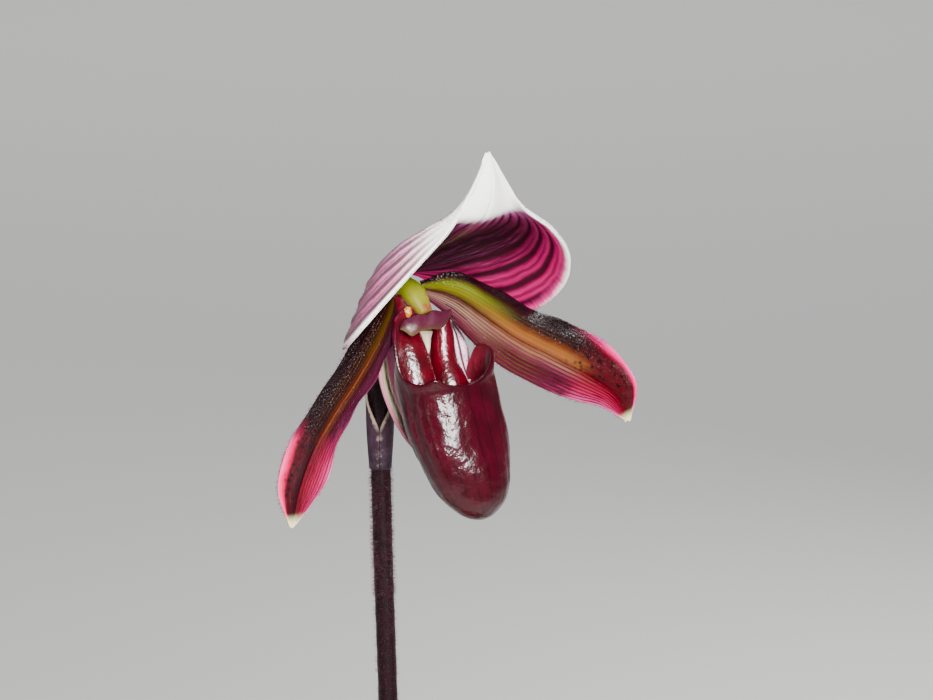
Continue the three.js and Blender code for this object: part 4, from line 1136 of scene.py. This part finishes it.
def leafSurface(leaf):
    upright = leaf["upright"] / leaf["length"]
    steps = leafShape["steps"]

    def slopeAt(s):
        free = max(0, s - upright) / (1 - upright)
        bent = smooth(upright * leafShape["bend"][0], upright * leafShape["bend"][1], s)
        return math.radians(mix(90, mix(leaf["rise"], leaf["droop"], free), bent))

    spine = [Vector((leaf["clasp"], 0, leafShape["foot"]))]
    for step in range(steps):
        slope = slopeAt((step + 0.5) / steps)
        spine.append(spine[-1] + Vector((math.cos(slope), 0, math.sin(slope))) * (leaf["length"] / steps))

    def surface(s, t):
        slope = slopeAt(s)
        fold = math.radians(along(leafShape["fold"], s))
        tip = max(0, (s - (1 - leafShape["tipRound"])) / leafShape["tipRound"])
        half = leaf["width"] / 2 * along(leafShape["width"], s) * math.sqrt(max(0, 1 - tip * tip) + 0.001)
        twist = math.radians(leaf["twist"]) * s
        opening = upright * leafShape["opening"]
        open = smooth(opening, opening + leafShape["opened"], s)
        arc = math.radians(leafShape["claspAngle"]) * t
        sideways = mix(leaf["clasp"] * math.sin(arc), half * math.cos(fold) * t, open)
        folded = half * math.sin(fold) * abs(t) ** leafShape["keel"]
        height = mix(leaf["clasp"] * (1 - math.cos(arc)), folded, open)
        lifted = height * math.cos(twist) + sideways * math.sin(twist)
        out = Vector((-math.sin(slope) * lifted, sideways * math.cos(twist) - height * math.sin(twist),
                      math.cos(slope) * lifted))
        turn = mix(leaf["rank"], leaf["turn"], smooth(*leafShape["swing"], s))
        return Matrix.Rotation(math.radians(turn), 3, "Z") @ (along(spine, s) + out)
    return surface


def leafRelief(seed, s, t):
    # a sharp groove along the midrib above, faint veins beside it and a slow wave in the blade
    blade = smooth(0.15, 0.4, s) * (1 - smooth(0.94, 1, s))
    groove = hump(t, 0, 0.035) * leafShape["groove"]
    veins = math.cos(abs(t) * math.pi * 2 * leafShape["veins"]) * leafShape["veinHeight"]
    wave = math.sin(s * 17 + seed * 2.1) * abs(t) + noise.noise(Vector((s * 9, t * 2, seed)))
    return (-groove + veins + wave * leafShape["wave"]) * blade


def makeLeafUpper():
    # waxy leaf skin, tessellated in dark and grey-green blocks about 4 mm long, between fine parallel veins
    made, node = newMaterial("leafUpperSkin", {
        "Roughness": 0.36, "Specular IOR Level": 0.5, "Subsurface Weight": 0.05,
        "Subsurface Scale": 1 * mm, "Coat Weight": 0.15, "Coat Roughness": 0.25, "IOR": 1.42})
    s, t, a = shapePlace(node)
    place = node("TexCoord").outputs["Object"]
    cloud = node("TexNoise", place, sockets={"Scale": perMm / 14, "Detail": 3.0})
    grid = node("Mapping", node("CombineXYZ", s, t), sockets={"Scale": (30, 7, 1)})
    warp = node("TexNoise", place, sockets={"Scale": perMm / 3, "Detail": 3.0})
    push = node("VectorMath", warp.outputs["Color"], (0.9, 0.9, 0), operation="MULTIPLY")
    moved = node("VectorMath", grid, push, operation="ADD")
    blocks = node("TexVoronoi", moved, distance="CHEBYCHEV", sockets={"Scale": 1.0, "Randomness": 0.85})
    shade = node("SeparateXYZ", blocks.outputs["Color"])
    pale = node("MapRange", shade.outputs["X"], 0.38, 0.62, 0.0, 1.0, interpolation_type="SMOOTHSTEP")
    light = node("Mix", cloud, "#7f9a76", "#a3b596", data_type="RGBA")
    dark = node("Mix", cloud, "#1f3f22", "#35592f", data_type="RGBA")
    colour = node("Mix", pale, dark, light, data_type="RGBA")
    _, veins = stripes(node, a, 9)
    line = node("MapRange", veins, 0.9, 1.0, 0.0, 0.35)
    colour = node("Mix", line, colour, "#2a4a2a", data_type="RGBA")
    rib = node("MapRange", a, 0.045, 0.015, 0.0, 0.6, interpolation_type="SMOOTHSTEP")
    colour = node("Mix", rib, colour, "#2c4a26", data_type="RGBA")
    foot = node("MapRange", s, 0.16, 0.04, 0.0, 0.8, interpolation_type="SMOOTHSTEP")
    colour = node("Mix", foot, colour, "#8f9a68", data_type="RGBA")
    grain = node("TexNoise", place, sockets={"Scale": perMm / 0.8, "Detail": 3.0})
    height = node("Math", node("Math", veins, 0.4, operation="MULTIPLY"), grain, operation="ADD")
    bump = node("Bump", sockets={"Strength": 0.3, "Distance": 0.2 * mm, "Height": height})
    return fillShader(made, {"Base Color": colour, "Normal": bump})


def makeLeafUnder():
    # the paler underside, with a purple flush towards the base
    made, node = newMaterial("leafUnderSkin", {
        "Roughness": 0.5, "Specular IOR Level": 0.4, "Subsurface Weight": 0.05,
        "Subsurface Scale": 1 * mm, "IOR": 1.42})
    s, _, _ = shapePlace(node)
    place = node("TexCoord").outputs["Object"]
    specks = node("TexVoronoi", place, sockets={"Scale": perMm / 1.3})
    cloud = node("TexNoise", place, sockets={"Scale": perMm / 12, "Detail": 4.0})
    ground = node("Mix", cloud, "#5f7d48", "#86a06a", data_type="RGBA")
    flush = node("MapRange", ragged(node, s, cloud, 0.3), 0.5, 0.08, 0.0, 0.85,
                 interpolation_type="SMOOTHSTEP")
    speck = node("Math", node("MapRange", specks, 0.45, 0.25, 0.25, 1.0), flush, operation="MULTIPLY")
    colour = node("Mix", speck, ground, "#4c1f38", data_type="RGBA")
    bump = node("Bump", sockets={"Strength": 0.25, "Distance": 0.2 * mm, "Height": cloud})
    return fillShader(made, {"Base Color": colour, "Normal": bump})


leafUpper, leafUnder = makeLeafUpper(), makeLeafUnder()
for number, leaf in enumerate(leaves, 1):
    work = sheetMesh(leafSurface(leaf), leafShape["rows"], leafShape["columns"],
                     partial(leafRelief, number), flip=True)
    blade = finishPiece("strap_leaf_" + str(number), work, [leafUpper, leafUnder],
                        ["leaf_" + str(number)])
    thicken(blade, leafThickness, underside=1)
print("leaves made")


# Bark

pot = {
    "height": 104, "baseRadius": 40, "neckRadius": 55.5, "rimRadius": 60, "rimHeight": 20, "wall": 5.5,
    "floor": 7, "edge": 1.5, "holeRadius": 6, "holeCircle": 22, "holes": 4,
}
bark = {
    "top": 91, "chips": 190, "length": (9, 17), "width": (6, 11), "thickness": (2.5, 5.5), "worn": 0.8,
    "uneven": 0.9, "innerCircle": 15.5, "seed": 5, "plugTop": 88, "wellRadius": 14, "wellBottom": 80,
    "tilt": (0.22, 0.16), "lift": (0.5, 5), "wallBand": 3, "wellBand": 5,
}


def makeBark():
    # fir bark: dry broken chips, red-brown inside, grey-brown and corky outside
    made, node = newMaterial("firBark", {"Roughness": 0.85, "Specular IOR Level": 0.25})
    place = node("TexCoord").outputs["Object"]
    cloud = node("TexNoise", place, sockets={"Scale": perMm / 9, "Detail": 4.0})
    fibre = node("TexNoise", node("Mapping", place, sockets={"Scale": (1, 1, 3.5)}),
                 sockets={"Scale": perMm / 2, "Detail": 6.0, "Roughness": 0.65})
    both = node("Math", node("Math", cloud, 0.55, operation="MULTIPLY"),
                node("Math", fibre, 0.45, operation="MULTIPLY"), operation="ADD")
    colour = node("ValToRGB", both, stops=[
        (0.32, "#1c100a"), (0.44, "#3d2113"), (0.52, "#6a3a20"), (0.60, "#8a5a38"), (0.70, "#a98a68")])
    bump = node("Bump", sockets={"Strength": 0.9, "Distance": 0.8 * mm, "Height": fibre})
    return fillShader(made, {"Base Color": colour, "Normal": bump})


firBark = makeBark()


def wallInside(z):
    return mix(pot["baseRadius"], pot["rimRadius"], z / pot["height"]) - pot["wall"]


def addChip(work, chance):
    # one broken chip, worn at its edges and uneven
    chip = bmesh.new()
    bmesh.ops.create_cube(chip, size=1)
    size = [chance.uniform(*bark[edge]) for edge in ("length", "width", "thickness")]
    for vert in chip.verts:
        vert.co = Vector([vert.co[i] * size[i] * chance.uniform(0.7, 1) for i in range(3)])
    bmesh.ops.bevel(chip, geom=chip.edges[:], offset=bark["worn"], segments=1, affect="EDGES", profile=0.5,
                    material=-1)
    bmesh.ops.subdivide_edges(chip, edges=chip.edges[:], cuts=1, use_grid_fill=True)
    shift = Vector((chance.uniform(0, 99), 0, 0))
    for vert in chip.verts:
        vert.co += vert.normal * noise.noise(vert.co / 2.6 + shift) * bark["uneven"]
    share = chance.random()
    outer = wallInside(bark["top"]) - size[0] * 0.5
    radius = math.sqrt(mix(bark["innerCircle"] ** 2, outer ** 2, share))
    angle = chance.uniform(0, 2 * math.pi)
    flat = Matrix.Rotation(chance.uniform(0, math.pi), 4, "Z")
    tilt = (Matrix.Rotation(chance.gauss(0, bark["tilt"][0]), 4, "X")
            @ Matrix.Rotation(chance.gauss(0, bark["tilt"][1]), 4, "Y"))
    if radius > outer - bark["wallBand"] or radius < bark["innerCircle"] + bark["wellBand"]:
        # along the wall and round the stem the chips lie lengthways, so that they keep inside
        flat = Matrix.Rotation(angle + math.pi / 2 + chance.uniform(-0.3, 0.3), 4, "Z")
    lift = bark["plugTop"] + chance.uniform(*bark["lift"])
    place = Matrix.Translation((radius * math.cos(angle), radius * math.sin(angle), lift)) @ tilt @ flat
    bmesh.ops.transform(chip, matrix=place, verts=chip.verts)
    mesh = meshFrom("chip", chip)
    work.from_mesh(mesh)
    bpy.data.meshes.remove(mesh)


chance = random.Random(bark["seed"])
work = bmesh.new()
for _ in range(bark["chips"]):
    addChip(work, chance)
bmesh.ops.recalc_face_normals(work, faces=work.faces)
finishPiece("bark_chips", work, [firBark], ["growing_medium"], sharpAngle=50)


def turnProfile(profile, steps, edge=0):
    # points of radius and height, turned round the plant's upright axis; edge rounds the corners on the way
    work = bmesh.new()
    verts = [work.verts.new((radius, 0, z)) for radius, z in profile]
    for pair in zip(verts, verts[1:]):
        work.edges.new(pair)
    if edge:
        bmesh.ops.bevel(work, geom=verts[1:-1], offset=edge, segments=4, affect="VERTICES", profile=0.5,
                        material=-1)
    bmesh.ops.spin(work, geom=work.verts[:] + work.edges[:], cent=(0, 0, 0), axis=(0, 0, 1),
                   angle=2 * math.pi, steps=steps, use_merge=True, use_duplicate=False)
    bmesh.ops.remove_doubles(work, verts=work.verts, dist=0.02)
    bmesh.ops.recalc_face_normals(work, faces=work.faces)
    return work


# under the loose chips, bark that fills the pot, with a well for the rootstock
bedding = pot["floor"] + 0.3
work = turnProfile([
    (0.01, bedding), (wallInside(pot["floor"]) - 2, bedding),
    (wallInside(bark["plugTop"]) - 0.4, bark["plugTop"]), (bark["wellRadius"], bark["plugTop"]),
    (bark["wellRadius"], bark["wellBottom"]), (0.01, bark["wellBottom"]),
], steps=96)
finishPiece("packed_bark", work, [firBark], sharpAngle=40)
print("bark made")


# Pot

def makeTerracotta():
    # low-fired red clay, unglazed: dry and matt, with lime bloom, fine pits and turning rings 4 mm apart
    made, node = newMaterial("terracotta", {"Roughness": 0.88, "Specular IOR Level": 0.25})
    place = node("TexCoord").outputs["Object"]
    cloud = node("TexNoise", place, sockets={"Scale": perMm / 26, "Detail": 5.0, "Roughness": 0.6})
    colour = node("ValToRGB", cloud, stops=[(0.3, "#9c4f2e"), (0.5, "#b5633c"), (0.7, "#c47a50")])
    height = node("SeparateXYZ", place).outputs["Z"]
    low = node("MapRange", height, 45 * mm, 0.0, 0.0, 1.0, interpolation_type="SMOOTHSTEP")
    streak = node("TexNoise", node("Mapping", place, sockets={"Scale": (1, 1, 0.25)}),
                  sockets={"Scale": perMm / 11, "Detail": 6.0, "Roughness": 0.7})
    bloom = node("MapRange", streak, 0.50, 0.68, 0.0, 0.5, interpolation_type="SMOOTHSTEP")
    bloom = node("Math", bloom, node("Math", low, 0.7, 0.3, operation="MULTIPLY_ADD"), operation="MULTIPLY")
    colour = node("Mix", bloom, colour, "#d9c3b0", data_type="RGBA")
    pits = node("TexNoise", place, sockets={"Scale": perMm / 0.9, "Detail": 4.0})
    rings = node("TexWave", place, wave_type="BANDS", bands_direction="Z",
                 sockets={"Scale": perMm / 4 / math.pi, "Distortion": 1.5, "Detail": 2.0})
    relief = node("Math", pits, node("Math", rings, 0.35, operation="MULTIPLY"), operation="ADD")
    bump = node("Bump", sockets={"Strength": 0.45, "Distance": 0.4 * mm, "Height": relief})
    return fillShader(made, {"Base Color": colour, "Normal": bump})


terracotta = makeTerracotta()
collarFoot = pot["height"] - pot["rimHeight"]
work = turnProfile([
    (0, 0), (pot["baseRadius"], 0), (pot["neckRadius"], collarFoot - 1),
    (pot["rimRadius"] - 2, collarFoot + 1), (pot["rimRadius"], pot["height"]),
    (wallInside(pot["height"]), pot["height"]), (wallInside(pot["floor"]), pot["floor"]), (0, pot["floor"]),
], steps=144, edge=pot["edge"])
clayPot = finishPiece("clay_pot", work, [terracotta], ["pot"], sharpAngle=35)

# the drainage holes, drilled through the floor
work = bmesh.new()
for hole in range(pot["holes"]):
    angle = (hole + 0.5) / pot["holes"] * 2 * math.pi
    place = Matrix.Translation((
        pot["holeCircle"] * math.cos(angle), pot["holeCircle"] * math.sin(angle), 0))
    bmesh.ops.create_cone(work, cap_ends=True, segments=40, radius1=pot["holeRadius"],
                          radius2=pot["holeRadius"], depth=pot["floor"] * 3, matrix=place)
bmesh.ops.scale(work, vec=(mm, mm, mm), verts=work.verts)
drill = placeObject("drill", meshFrom("drill", work))
cut = clayPot.modifiers.new("holes", "BOOLEAN")
cut.object = drill
cut.solver = "EXACT"
bpy.context.view_layer.update()
drilled = bpy.data.meshes.new_from_object(clayPot.evaluated_get(bpy.context.evaluated_depsgraph_get()))
clayPot.modifiers.clear()
clayPot.data = drilled
bpy.data.objects.remove(drill)
print("pot made")


# The rootstock and its roots stay as they are in the frame, with a root's finish

# spongy root skin: pale brown felt
rootSkin = makePlain("rootVelamen", "#5c5230", "#8f8456", cloudSize=3, grainSize=0.6, constants={
    "Roughness": 0.85, "Specular IOR Level": 0.2})
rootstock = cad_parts["rootstock"]
for place in rootstock.material_slots:
    place.material = rootSkin
